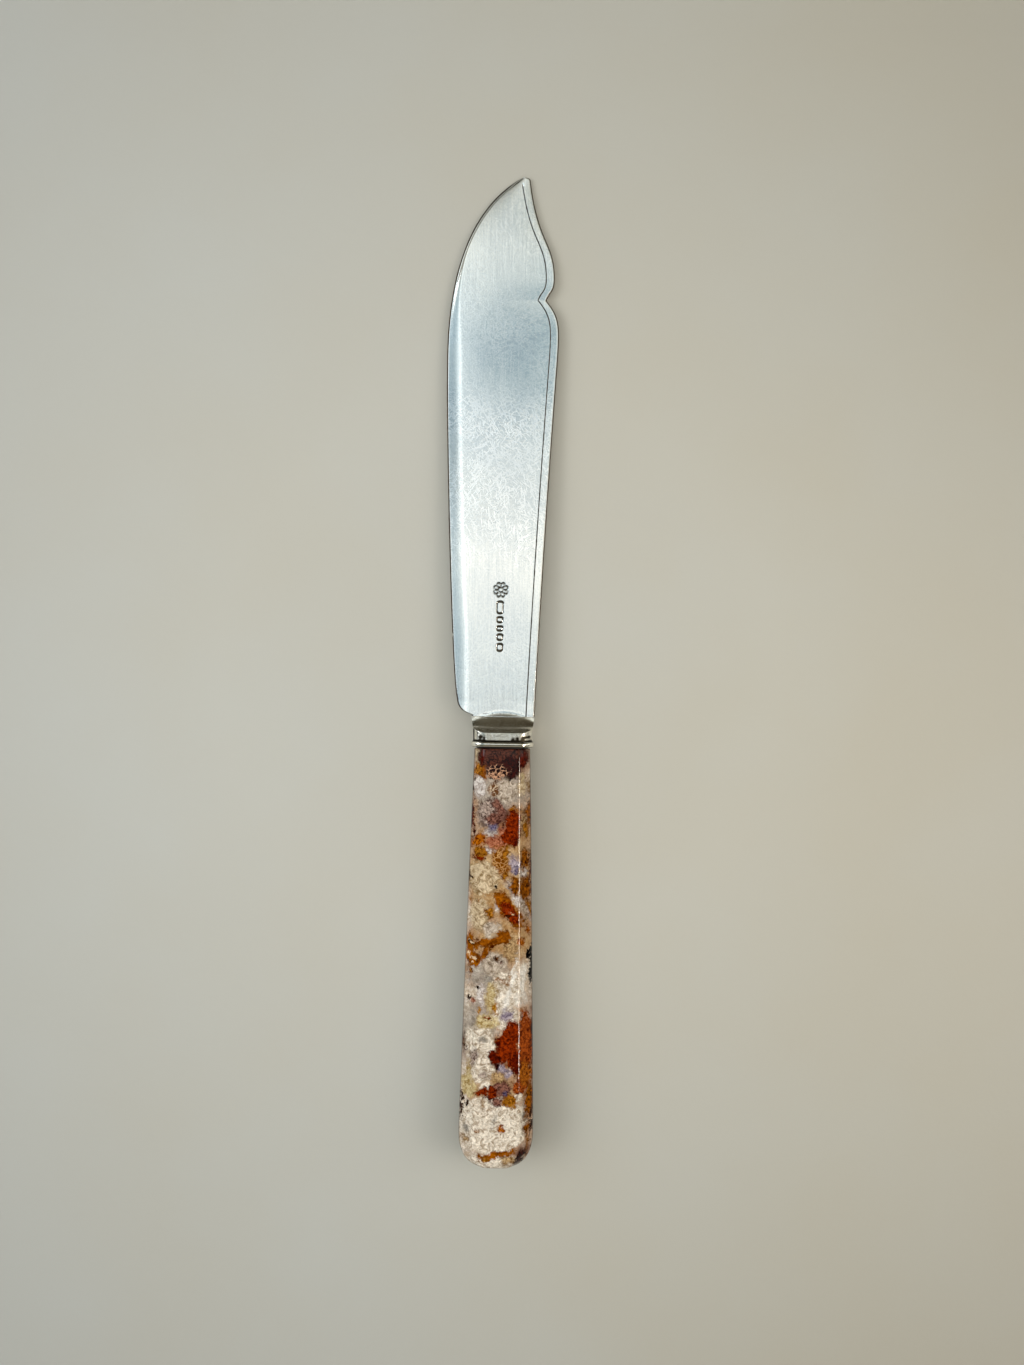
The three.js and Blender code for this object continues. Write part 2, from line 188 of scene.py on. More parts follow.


# Worn table silver: cast or rolled, hand polished and used for a century. It gives the eye a soft mirror with
# fine lengthwise brushing, short random scratches with a painted sheen, a faint blue-grey cloud, and black
# tarnish with painted shade in its corners and on its rims.
def makeSilver(name, look):
    s = silverMix
    material, tree = newMaterial(name)
    place = addNode(tree, "ShaderNodeAttribute", attribute_name="knife").outputs["Vector"]
    grimeAndShade = addNode(tree, "ShaderNodeAttribute", attribute_name="grimeAndShade").outputs["Fac"]
    # plain noises, each by its size in millimetres
    noises = {}
    for size, detail in (("scratchPatch", 1.0), ("waveSize", 1.0), ("cloudSize", 2.0), ("speckleSize", 2.0),
                         ("tarnishSize", 3.0)):
        noises[size] = addNode(tree, "ShaderNodeTexNoise", {
            "Vector": place, "Scale": 1 / look[size], "Detail": detail}).outputs["Fac"]
    # lengthwise brushing, drawn coarser than real polishing lines so that it shows
    brushPlace = addNode(tree, "ShaderNodeVectorMath", {
        0: place, 1: (1 / look["brushWidth"], 1 / look["brushLength"], 1 / look["brushWidth"])},
        operation="MULTIPLY").outputs[0]
    brush = addNode(tree, "ShaderNodeTexNoise", {
        "Vector": brushPlace, "Scale": 1.0, "Detail": 3.0, "Roughness": 0.6}).outputs["Fac"]
    height = addNode(tree, "ShaderNodeMath", {
        0: brush, 1: look["brushDepth"]}, operation="MULTIPLY").outputs[0]
    # scratches lie at several angles; each layer is stretched noise cut down to its crests
    marks = None
    for number, turn in enumerate(look["scratchTurns"]):
        turned = addNode(tree, "ShaderNodeMapping", {
            "Vector": place, "Location": [number * c for c in s["layerShift"]],
            "Rotation": (0, 0, math.radians(turn)),
            "Scale": (look["scratchWidth"], look["scratchLength"], look["scratchLength"])},
            vector_type="TEXTURE").outputs[0]
        crest = addNode(tree, "ShaderNodeTexNoise", {
            "Vector": turned, "Scale": 1.0, "Detail": 0.0,
            "Distortion": look["scratchCurl"]}).outputs["Fac"]
        cut = addNode(tree, "ShaderNodeMapRange", {
            "Value": crest, "From Min": look["scratchCut"], "From Max": look["scratchCut"] + s["crestWidth"]},
            interpolation_type="SMOOTHSTEP").outputs[0]
        marks = cut if marks is None else addNode(
            tree, "ShaderNodeMath", {0: marks, 1: cut}, operation="MAXIMUM").outputs[0]
    where = addNode(tree, "ShaderNodeMapRange", {
        "Value": noises["scratchPatch"], "From Min": s["patchFrom"], "From Max": s["patchTo"],
        "To Min": s["patchLeast"], "To Max": 1.0}).outputs[0]
    marks = addNode(tree, "ShaderNodeMath", {0: marks, 1: where}, operation="MULTIPLY").outputs[0]
    # most of them lie in one worn stretch
    along = addNode(tree, "ShaderNodeSeparateXYZ", {0: place}).outputs["Y"]
    along = addNode(tree, "ShaderNodeMath", {
        0: along, 1: look["wornAt"]}, operation="SUBTRACT").outputs[0]
    along = addNode(tree, "ShaderNodeMath", {0: along}, operation="ABSOLUTE").outputs[0]
    worn = addNode(tree, "ShaderNodeMapRange", {
        "Value": along, "From Min": look["wornHalf"] * s["wornFrom"],
        "From Max": look["wornHalf"] * s["wornTo"],
        "To Min": 1.0, "To Max": look["wornElsewhere"]}, interpolation_type="SMOOTHSTEP").outputs[0]
    marks = addNode(tree, "ShaderNodeMath", {0: marks, 1: worn}, operation="MULTIPLY").outputs[0]
    height = addNode(tree, "ShaderNodeMath", {
        0: marks, 1: -look["scratchDepth"], 2: height}, operation="MULTIPLY_ADD").outputs[0]
    # slow waves left by hand polishing
    height = addNode(tree, "ShaderNodeMath", {
        0: noises["waveSize"], 1: look["waveDepth"], 2: height}, operation="MULTIPLY_ADD").outputs[0]
    normal = addNode(tree, "ShaderNodeBump", {
        "Height": height, "Distance": mm, "Strength": 1.0}).outputs[0]
    # colour: clear silver, cloudy patches, scratches with a painted sheen, tarnish and painted shade in the
    # corners
    cloud = noises["cloudSize"]
    for pattern, share in ((noises["speckleSize"], s["speckleShare"]), (brush, s["brushShare"])):
        cloud = addNode(tree, "ShaderNodeMath", {
            0: pattern, 1: share, 2: cloud}, operation="MULTIPLY_ADD").outputs[0]
    cloud = addNode(tree, "ShaderNodeMapRange", {
        "Value": cloud, "From Min": s["cloudFrom"], "From Max": s["cloudTo"]}).outputs[0]
    colour = addNode(tree, "ShaderNodeMix", {
        0: cloud, 6: linear(look["clear"]), 7: linear(look["cloudy"])}, data_type="RGBA").outputs[2]
    # painted sheen: the scratches are painted lighter, towards white, as if they caught the light
    shine = addNode(tree, "ShaderNodeMath", {
        0: marks, 1: look["scratchPaintedSheen"]}, operation="MULTIPLY").outputs[0]
    colour = addNode(tree, "ShaderNodeMix", {
        0: shine, 6: colour, 7: linear("#FFFFFF")}, data_type="RGBA").outputs[2]
    # tarnish from noise, darkened further by the grime attribute: tarnish and painted shade in crevices and
    # on rims
    dirtAndShade = addNode(tree, "ShaderNodeMath", {
        0: noises["tarnishSize"], 1: 0.5}, operation="SUBTRACT").outputs[0]
    dirtAndShade = addNode(tree, "ShaderNodeMath", {
        0: dirtAndShade, 1: look["tarnishBreak"], 2: grimeAndShade}, operation="MULTIPLY_ADD").outputs[0]
    dirtAndShade = addNode(tree, "ShaderNodeMapRange", {
        "Value": dirtAndShade, "From Min": s["dirtAndShadeFrom"], "From Max": s["dirtAndShadeTo"]},
        interpolation_type="SMOOTHSTEP").outputs[0]
    colour = addNode(tree, "ShaderNodeMix", {
        0: dirtAndShade, 6: colour, 7: linear(look["tarnish"])}, data_type="RGBA").outputs[2]
    rough = addNode(tree, "ShaderNodeMapRange", {
        "Value": brush, "From Min": s["brushFrom"], "From Max": s["brushTo"],
        "To Min": look["roughness"] - look["roughSpread"],
        "To Max": look["roughness"] + look["roughSpread"]}).outputs[0]
    rough = addNode(tree, "ShaderNodeMath", {
        0: dirtAndShade, 1: s["dirtAndShadeRough"], 2: rough}, operation="MULTIPLY_ADD").outputs[0]
    shader = addNode(tree, "ShaderNodeBsdfPrincipled", {
        "Base Color": colour, "Metallic": 1.0, "Roughness": rough, "Normal": normal})
    addNode(tree, "ShaderNodeOutputMaterial", {"Surface": shader.outputs[0]})
    return material


bladeSilver = makeSilver("worn_rolled_silver", {
    "clear": "#EEEFEC", "cloudy": "#D3D9DC", "tarnish": "#3E2F20",
    "roughness": 0.12, "roughSpread": 0.04,
    "brushWidth": 0.22, "brushLength": 7.0, "brushDepth": 0.0008,
    "scratchTurns": (8, -38, 52, -64, 30, 76), "scratchWidth": 0.23, "scratchLength": 1.9,
    "scratchCurl": 0.35, "scratchCut": 0.63, "scratchDepth": 0.006, "scratchPatch": 14.0, "scratchPaintedSheen": 1.0,
    "wornAt": 57.0, "wornHalf": 16.0, "wornElsewhere": 0.3,
    "waveSize": 9.0, "waveDepth": 0.008,
    "cloudSize": 18.0, "speckleSize": 0.3, "tarnishSize": 0.6, "tarnishBreak": 0.8,
})
bolsterSilver = makeSilver("worn_cast_silver", {
    "clear": "#F0EDE4", "cloudy": "#DAD5C8", "tarnish": "#2C2820",
    "roughness": 0.2, "roughSpread": 0.06,
    "brushWidth": 0.3, "brushLength": 1.2, "brushDepth": 0.006,
    "scratchTurns": (20, -50, 80), "scratchWidth": 0.2, "scratchLength": 1.2, "scratchCurl": 0.3,
    "scratchCut": 0.66, "scratchDepth": 0.01, "scratchPatch": 3.0, "scratchPaintedSheen": 0.3,
    "wornAt": 0.0, "wornHalf": 20.0, "wornElsewhere": 1.0,
    "waveSize": 1.6, "waveDepth": 0.012,
    "cloudSize": 1.5, "speckleSize": 0.3, "tarnishSize": 0.7, "tarnishBreak": 0.5,
})
beadSilver = makeSilver("worn_drawn_silver", {
    "clear": "#F6F4EC", "cloudy": "#E6E1D4", "tarnish": "#1D1B16",
    "roughness": 0.16, "roughSpread": 0.04,
    "brushWidth": 0.3, "brushLength": 0.6, "brushDepth": 0.004,
    "scratchTurns": (85, 70), "scratchWidth": 0.2, "scratchLength": 1.2, "scratchCurl": 0.3,
    "scratchCut": 0.66, "scratchDepth": 0.008, "scratchPatch": 3.0, "scratchPaintedSheen": 0.3,
    "wornAt": 0.0, "wornHalf": 20.0, "wornElsewhere": 1.0,
    "waveSize": 1.2, "waveDepth": 0.006,
    "cloudSize": 2.0, "speckleSize": 0.3, "tarnishSize": 0.4, "tarnishBreak": 0.6,
})
print("silver finishes made")

bolsterLow, bolsterHigh = knifeBox("bolster")
beadLow, beadHigh = knifeBox("collar_bead")
handleLow, handleHigh = knifeBox("handle")
tangHigh = knifeBox("tang")[1]
tipY = knifeBox("blade")[1].y
film = 0.1  # millimetres of solder or cement between seated pieces

# Coves above and below the blade, cut into the bolster and run out on the blade's heel
coveShape = {
    "radius": 5.5,
    "runout": 1.65,   # how far the cove reaches on to the blade
    "base": 1.09,     # half thickness of the blade where the cove ends
    "arch": 2.3,      # how much less far it reaches at the sides
}
coveFoot = bolsterHigh.y + coveShape["runout"]
coveLength = math.sqrt(
    coveShape["radius"] ** 2 - (coveShape["radius"] - bolsterHigh.z + coveShape["base"]) ** 2)
ridgeY = coveFoot - coveLength


# Where the cove runs out, and how much shorter it is there than in the middle
def coveEnd(x):
    foot = coveFoot - coveShape["arch"] * clamp(abs(x) / bolsterHigh.x) ** 2
    return foot, (foot - ridgeY) / coveLength


def coveRise(x, y):
    foot, share = coveEnd(x)
    inside = clamp((foot - y) / share, 0, coveShape["radius"])
    return coveShape["radius"] - math.sqrt(coveShape["radius"] ** 2 - inside ** 2)


# Blade. Its outline is a row of Bezier curves from the heel to the tip, each point across and along it.
bladeShape = {
    "belly": [
        [(-6.65, 6.4), (-6.65, 6.55)],
        [(-6.65, 6.55), (-6.65, 7.05), (-9.6, 6.9), (-9.8, 9.85)],
        [(-9.8, 9.85), (-11.1, 14.15), (-13.15, 67.0), (-13.15, 80.0)],
        [(-13.15, 80.0), (-13.15, 85.4), (-14.2, 111.1), (2.0, 120.5)],
    ],
    "spine": [
        [(6.65, 6.4), (8.075, 44.25), (10.3, 82.1)],
        [(10.3, 82.1), (10.72, 89.9), (10.4, 91.3), (7.7, 94.55)],
        [(7.7, 94.55), (8.2, 96.35), (9.35, 96.45), (9.35, 98.85)],
        [(9.35, 98.85), (9.35, 107.15), (5.8, 106.25), (3.9, 119.75)],
        [(3.9, 119.75), (3.9, 120.5), (3.0, 120.5)],
    ],
    "start": 6.4, "heelEnd": 9.85, "widest": 80.0,
    "halfAtHeel": 1.1, "halfAtTip": 0.5, "camber": 0.08,
    "backRound": 0.34, "edgeRound": 0.42,
    "drop": 0.47, "edgeLeast": 0.25,     # how far the bevel falls, and the half thickness left at the edge
    "bevelAtHeel": 3.6, "bevelAtBelly": 3.25, "bevelAtTip": 0.7, "bevelStop": 14.0, "bevelLeast": 0.12,
    "bevelPower": 1.8,                   # the bevel is convex: flat at its shoulder, steepest at the edge
    "straightBelow": 20.0, "straightBlend": 5.0,
    "slantZone": (-5.0, 10.0), "slantMost": 2.2,
    # near the tip these are held to shares of the blade's width, and the back also of its half thickness
    "bevelShare": 0.32, "edgeShare": 0.1, "lineShare": 0.04, "backShare": 0.2, "backThickShare": 0.6,
    "lineInset": 1.8, "lineHalf": 0.17, "lineDepth": 0.15, "linePower": 0.8, "lineDirt": 1.1,
    "lineFromTip": 1.4, "lineFade": (0.4, -0.6),
    "nickAt": 23.5, "nickSize": 0.25, "nickHalf": 0.3,
    "tongue": (4.0, 0.7, 2.4),           # half width, half thickness, length
    # tarnish and painted shade on the rim, as shares of a quarter turn round it, and grey smears of solder at
    # the heel
    "rimTarnishAndShade": 1.1, "bellyTarnishAndShade": (0.85, 0.65), "backTarnishAndShade": (0.12, 0.38),
    "solderAt": 6.95, "solderDirt": 0.36, "solderHalf": 0.4, "solderWide": (6.2, 4.8),
    # plain blank punch marks: across, along, half width, half length
    "punches": [(-1.0, 29.4, 0.85, 1.45), (-1.0, 26.8, 0.8, 0.75), (-1.0, 24.95, 0.8, 0.65),
                (-0.95, 23.1, 0.8, 0.8), (-0.95, 20.95, 0.8, 0.95)],
    "punchDepth": 0.1, "punchDirt": 1.1, "punchWall": 0.42, "punchCorner": 0.8,
    "rosette": (-0.9, 33.1, 1.8),        # across, along, radius
    "petals": 8, "petalGap": 0.26, "petalFrom": 0.55, "scallop": 0.2, "rosetteShare": 0.62,
    # columns of points: over the bevel, beside and over the marks, over the land behind the line, underneath
    "bevelColumns": 18, "markFrom": -3.1, "markTo": 1.3, "markColumns": (5, 40, 6),
    "marksEnd": 40.0, "spreadZone": (42.0, 62.0),
    "lineSteps": 3, "landColumns": 4, "backSteps": 6, "underColumns": 10,
    # shares of a quarter turn round the cutting edge
    "edgeArc": [0, 0.14, 0.3, 0.48, 0.6, 0.7, 0.8, 0.9],
    # fine steps where the outline turns or the surface is worked: up to a place, a step
    "zones": [(10.35, 0.1), (19.5, 0.6), (35.2, 0.12), (92.0, 0.6), (97.0, 0.12), (112.0, 0.6), (119.0, 0.2)],
    "tipStep": 0.06,
}


def bezierPoint(points, t):
    while len(points) > 1:
        points = [a.lerp(b, t) for a, b in zip(points, points[1:])]
    return points[0]


def edgePoints(curves, steps=60):
    edge = []
    for curve in curves:
        corners = [Vector(p) for p in curve]
        edge += [bezierPoint(corners, k / steps) for k in range(steps)]
    edge.append(Vector(curves[-1][-1]))
    return edge


bellyEdge = edgePoints(bladeShape["belly"])
spineEdge = edgePoints(bladeShape["spine"])


def reach(edge, y):
    place = bisect.bisect_left([p.y for p in edge], y, 1, len(edge) - 1)
    a, b = edge[place - 1], edge[place]
    return mix(a.x, b.x, clamp((y - a.y) / (b.y - a.y)) if b.y > a.y else 1.0)


# How much longer a slanted edge makes a distance when it is measured straight across the knife
def slant(edge, y, step=0.15):
    rise = (reach(edge, min(y + step, tipY)) - reach(edge, max(y - step, bladeShape["start"]))) / (2 * step)
    return min(math.hypot(1, rise), bladeShape["slantMost"])


def bevelWidth(y):
    s = bladeShape
    if y < s["widest"]:
        return mix(s["bevelAtHeel"], s["bevelAtBelly"], (y - s["heelEnd"]) / (s["widest"] - s["heelEnd"]))
    return mix(s["bevelAtBelly"], s["bevelAtTip"], smooth(s["widest"], tipY - s["bevelStop"], y))


# Depth of the marks: a plain rosette of petals with grooves between them, and blank punch marks with a groove
# round the edge. The grooves hold dirt.
def punchDip(x, y):
    s = bladeShape
    across, along, radius = s["rosette"]
    far = math.hypot(x - across, y - along)
    if far < radius:
        turn = math.atan2(y - along, x - across) * s["petals"] / (2 * math.pi)
        beside = far * math.sin(abs(turn - round(turn)) * 2 * math.pi / s["petals"])
        rim = radius * (1 - s["scallop"] * (1 - abs(math.sin(math.pi * turn)))) - s["petalGap"]
        gap = smooth(s["petalGap"], 0, beside) if s["petalFrom"] < far < rim else 0.0
        line = smooth(s["petalGap"], 0, min(abs(far - rim), abs(far - s["petalFrom"])))
        return s["rosetteShare"] * max(gap, line)
    for across, along, halfWidth, halfLength in s["punches"]:
        corner = s["punchCorner"] * min(halfWidth, halfLength)
        dx = abs(x - across) - halfWidth + corner
        dy = abs(y - along) - halfLength + corner
        inside = corner - math.hypot(max(dx, 0), max(dy, 0)) - min(max(dx, dy), 0)
        if inside > 0:
            return smooth(1, 0, abs(2 * inside / s["punchWall"] - 1))
    return 0.0


# Grey smears of solder along the joint with the bolster
def solderDirt(x, y):
    s = bladeShape
    along = math.exp(-((y - s["solderAt"]) / s["solderHalf"]) ** 2)
    return s["solderDirt"] * along * smooth(*s["solderWide"], abs(x))


# One section of the blade, from the cutting edge over the upper face, round the back and along the underside
def bladeRing(y):
    s = bladeShape
    belly, spine = reach(bellyEdge, y), reach(spineEdge, y)
    nick = belly + s["nickSize"] * math.exp(-((y - s["nickAt"]) / s["nickHalf"]) ** 2)
    width = spine - belly
    middle = (belly + spine) / 2
    half = mix(s["halfAtHeel"], s["halfAtTip"], (y - s["start"]) / (tipY - s["start"]))
    back = min(s["backRound"], s["backShare"] * width, s["backThickShare"] * half)
    backIn = spine - back
    heelShare = smooth(s["heelEnd"], s["start"], y)
    drop = min(s["drop"], half - s["edgeLeast"])
    slantFrom, slantFull = s["slantZone"]
    stretch = mix(1, slant(bellyEdge, y), smooth(s["widest"] + slantFrom, s["widest"] + slantFull, y))
    inset = min(s["edgeRound"] * stretch, s["edgeShare"] * width)
    edgeIn = belly + inset
    # the bevel runs straight on where the outline rounds the heel
    guide = reach(bellyEdge, -softMin(-y, -s["straightBelow"], s["straightBlend"]))
    wide = min(bevelWidth(y) * stretch, s["bevelShare"] * width)
    bevel = max(guide + wide, edgeIn + s["bevelLeast"])
    span = max(bevel - guide - inset, s["bevelLeast"])
    line = max(spine - s["lineInset"], middle)
    lineHalf = min(s["lineHalf"], s["lineShare"] * width)
    lineStop = tipY - s["lineFromTip"]
    lineDepth = s["lineDepth"] * smooth(*(lineStop + f for f in s["lineFade"]), y)

    def height(x):
        camber = s["camber"] * (1 - heelShare) * ((x - middle) / (width / 2)) ** 2
        away = clamp((bevel - x) / span)
        return half + coveRise(x, y) - drop * away ** s["bevelPower"] - camber

    def onEdge(share, side, dirtAndShade):
        turn = share * math.pi / 2
        return max(mix(edgeIn, belly, math.cos(turn)), nick), y, side * height(edgeIn) * math.sin(turn), dirtAndShade

    def onBack(share, side, dirtAndShade):
        turn = share * math.pi / 2
        return backIn + back * math.sin(turn), y, side * (height(backIn) - back + back * math.cos(turn)), dirtAndShade

    def between(low, high, count, side=1, first=0):
        places = [mix(low, high, k / count) for k in range(first, count)]
        return [(x, y, side * height(x), 0) for x in places]

    # the outer rims of the cutting edge and of the back are painted darker: tarnish with painted shade
    ring = [onEdge(a, 1, s["rimTarnishAndShade"] * smooth(*s["bellyTarnishAndShade"], a)) for a in s["edgeArc"]]
    ring += between(edgeIn, bevel, s["bevelColumns"])
    # columns over the marks stand still; nearer the tip they spread evenly
    flatEnd = line - lineHalf
    stops = [bevel, s["markFrom"], s["markTo"], flatEnd]
    still = [mix(low, high, k / count) for low, high, count in zip(stops, stops[1:], s["markColumns"])
             for k in range(count)]
    spread = smooth(*s["spreadZone"], y)
    for k, x in enumerate(still):
        x = mix(x, mix(bevel, flatEnd, k / len(still)), spread)
        dip = punchDip(x, y) if y < s["marksEnd"] else 0.0
        dirtAndShade = max(s["punchDirt"] * dip, solderDirt(x, y))
        ring.append((x, y, height(x) - s["punchDepth"] * dip, dirtAndShade))
    # the engraved line along the back
    for k in range(-s["lineSteps"], s["lineSteps"] + 1):
        share = k / s["lineSteps"]
        x = line + share * lineHalf
        dip = lineDepth * (1 - abs(share)) ** s["linePower"]
        ring.append((x, y, height(x) - dip, min(1.0, dip / s["lineDepth"] * s["lineDirt"])))
    ring += between(line + lineHalf, backIn, s["landColumns"], first=1)
    backArc = [k / s["backSteps"] for k in range(s["backSteps"] + 1)]
    ring += [onBack(a, 1, s["rimTarnishAndShade"] * smooth(*s["backTarnishAndShade"], a)) for a in backArc]
    ring += [onBack(a, -1, 0) for a in reversed(backArc)]
    ring += between(backIn, bevel, s["underColumns"], -1, first=1)
    ring += between(bevel, edgeIn, s["underColumns"], -1)
    ring += [onEdge(a, -1, 0) for a in reversed(s["edgeArc"][1:])]
    return ring


def bladeStations():
    stations = []
    low = bladeShape["start"]
    for high, step in bladeShape["zones"] + [(tipY, bladeShape["tipStep"])]:
        steps = math.ceil((high - low) / step)
        stations += [mix(low, high, k / steps) for k in range(steps)]
        low = high
    return stations + [tipY]


bladeRings = [bladeRing(y) for y in bladeStations()]
# the tongue that is soldered into the bolster
tongueHalf, tongueThick, tongueLength = bladeShape["tongue"]
tongueRing = [(clamp(x, -tongueHalf, tongueHalf), y, clamp(z, -tongueThick, tongueThick), 0)
              for x, y, z, dirtAndShade in bladeRings[0]]
tongueEnd = [(x, y - tongueLength, z, 0) for x, y, z, dirtAndShade in tongueRing]
makePiece("silver_blade", [tongueEnd, tongueRing] + bladeRings, "blade", bladeSilver,
          sharp=30)


# Rounded rectangle across the knife, from the middle of its upper side
def roundedRing(halfWidth, halfHeight, corner, flatSteps=14, sideSteps=6, cornerSteps=18):
    quarter = [((halfWidth - corner) * k / flatSteps, halfHeight) for k in range(flatSteps)]
    for k in range(cornerSteps + 1):
        a = k / cornerSteps * math.pi / 2
        quarter.append((halfWidth - corner + corner * math.sin(a),
                        halfHeight - corner + corner * math.cos(a)))
    quarter += [(halfWidth, (halfHeight - corner) * (1 - k / sideSteps)) for k in range(1, sideSteps)]
    below = [(halfWidth, 0.0)] + [(x, -z) for x, z in reversed(quarter)]
    right = quarter + below
    left = [(-x, z) for x, z in reversed(right[1:-1])]
    return right + left


# Bolster: a block with a rebate for the bead, coved above and below down to the blade
bolsterShape = {
    "width": 12.4, "corner": 2.9, "ridgeSoft": 0.1, "beadSeat": 0.6,
    # tarnished places on the neck: across, along, radius
    "tarnished": [(-4.6, 2.0, 0.75), (-3.9, 1.8, 0.5), (2.2, 1.7, 0.55), (3.1, 1.8, 0.6), (4.2, 1.8, 0.8),
                  (4.9, 2.1, 0.6), (5.5, 2.2, 0.6)],
    "tarnishShare": 0.85, "underShare": 0.4,
    # tarnish and painted shade beside the bead, painted shade on the left side, and how far that climbs past
    # the ridge
    "seatDirtAndShade": 0.5, "sideShade": (0.5, 0.1), "ridgeShade": (1.2, 0.4),
    # shares of the way from the bead to the ridge and from there to the blade, closest at the ridge
    "beforeRidge": [0, 0.2, 0.45, 0.7, 0.85, 0.93, 0.97, 1.0],
    "afterRidge": [0.012, 0.03, 0.06, 0.1, 0.16, 0.24, 0.33, 0.43, 0.54, 0.66, 0.78, 0.9, 1.0],
    "overcut": 1.0,
}
bolsterHalf = (bolsterShape["width"] / 2, bolsterHigh.z)
beadSeatY = beadHigh.y + film


# Painted shade down the left side and beside the bead, with tarnish in that crevice and in spots on the neck
def bolsterDirtAndShade(x, y, z):
    s = bolsterShape
    side = smooth(*(bolsterHalf[0] - f for f in s["sideShade"]), -x)
    side *= smooth(*(ridgeY + f for f in s["ridgeShade"]), y)
    dirtAndShade = max(smooth(beadSeatY + s["seatDirtAndShade"], beadSeatY, y), side)
    for across, along, radius in s["tarnished"]:
        near = math.exp(-((x - across) ** 2 + (y - along) ** 2) / radius ** 2)
        dirtAndShade = max(dirtAndShade, s["tarnishShare"] * near)
    return dirtAndShade if z > 0 else s["underShare"] * dirtAndShade


def bolsterRings():
    s = bolsterShape
    neck = roundedRing(*bolsterHalf, s["corner"])
    seat = roundedRing(*(half - s["beadSeat"] for half in bolsterHalf), s["corner"] - s["beadSeat"])
    # the rebate under the bead is painted fully dark: painted shade with tarnish in the crevice
    rows = [[(x, y, z, 1.0) for x, z in seat] for y in (bolsterLow.y, beadSeatY)]
    flare = bolsterHigh.x / bolsterHalf[0]
    coveBase = coveShape["base"]
    columns = []
    for x, z in neck:
        foot = coveBase + coveRise(x * flare, bolsterHigh.y)
        depth = coveShape["radius"] - (abs(z) - coveBase)
        turnY = bolsterHigh.y
        if abs(z) > foot:
            end, share = coveEnd(x * flare)
            turnY = end - share * math.sqrt(coveShape["radius"] ** 2 - depth ** 2)
        ys = [mix(beadSeatY, turnY, f) for f in s["beforeRidge"]]
        ys += [mix(turnY, bolsterHigh.y, f) for f in s["afterRidge"]]
        column = []
        for y in ys:
            wide = x * mix(1, flare, clamp((y - ridgeY) / (bolsterHigh.y - ridgeY)))
            tall = abs(z)
            if tall > foot:
                tall = softMin(tall, coveBase + coveRise(x * flare, y), s["ridgeSoft"])
            high = math.copysign(tall, z)
            column.append((wide, y, high, bolsterDirtAndShade(wide, y, high)))
        columns.append(column)
    return rows + [list(row) for row in zip(*columns)]


# Cuts a straight-sided hole into a piece: half width, half height, and where it runs along the knife
def cutHole(piece, halfWidth, halfHeight, fromY, toY):
    corners = [(x, y, z) for y in (fromY, toY) for x, z in (
        (-halfWidth, -halfHeight), (halfWidth, -halfHeight),
        (halfWidth, halfHeight), (-halfWidth, halfHeight))]
    mesh = bpy.data.meshes.new("cutter")
    mesh.from_pydata([knifePlace @ Vector(c) for c in corners], [], [
        (0, 1, 2, 3), (7, 6, 5, 4), (0, 4, 5, 1), (1, 5, 6, 2), (2, 6, 7, 3), (3, 7, 4, 0)])
    cutter = bpy.data.objects.new("cutter", mesh)
    scene.collection.objects.link(cutter)
    cut = piece.modifiers.new("hole", "BOOLEAN")
    cut.operation = "DIFFERENCE"
    cut.solver = "EXACT"
    cut.object = cutter
    depsgraph = bpy.context.evaluated_depsgraph_get()
    made = bpy.data.meshes.new_from_object(piece.evaluated_get(depsgraph))
    piece.modifiers.clear()
    piece.data = made
    bpy.data.objects.remove(cutter)


bolster = makePiece("silver_bolster", bolsterRings(), "bolster", bolsterSilver, sharp=40)
cutHole(bolster, tongueHalf + film, tongueThick + film,
        bladeShape["start"] - tongueLength - film, bladeShape["start"] + bolsterShape["overcut"])
cutHole(bolster, tangHigh.x + film, tangHigh.x + film, -bolsterShape["overcut"], tangHigh.y + film)

# Bead: half-round wire bent round the bolster's rebate
beadShape = {"proud": beadHigh.z - bolsterHigh.z, "innerIn": 0.5, "roundSteps": 14, "dirtAndShadeFrom": 0.62}


def beadRings():
    rings = []
    middle = (beadLow.y + beadHigh.y) / 2
    halfWidth = (beadHigh.y - beadLow.y) / 2
    corner = bolsterShape["corner"]
    for k in range(beadShape["roundSteps"] + 1):
        a = (k / beadShape["roundSteps"] - 0.5) * math.pi
        grow = beadShape["proud"] * math.cos(a)
        # the bead's sides are painted darker towards the bolster and the handle, its inner face fully dark:
        # painted shade with tarnish in the crevices
        dirtAndShade = smooth(beadShape["dirtAndShadeFrom"], 1.0, abs(math.sin(a)))
        ring = roundedRing(bolsterHalf[0] + grow, bolsterHalf[1] + grow, corner + grow)
        rings.append([(x, middle + halfWidth * math.sin(a), z, dirtAndShade) for x, z in ring])
    inside = beadShape["innerIn"]
    ring = roundedRing(bolsterHalf[0] - inside, bolsterHalf[1] - inside, corner - inside)
    rings += [[(x, y, z, 1.0) for x, z in ring] for y in (beadHigh.y, beadLow.y)]
    return rings


makePiece("silver_bead", beadRings(), "collar_bead", beadSilver, sharp=50, looped=True)

# Camera: its distance from the knife, the height of what it frames there, the point that it looks at, its
# lean in degrees, and the nearest that it sees. The agate's inclusions use that point too.
cameraSetup = {
    "distance": 320.0, "frameHeight": 289.4, "centre": (1.78, 13.6), "lean": 1.0, "nearest": 10.0,
}

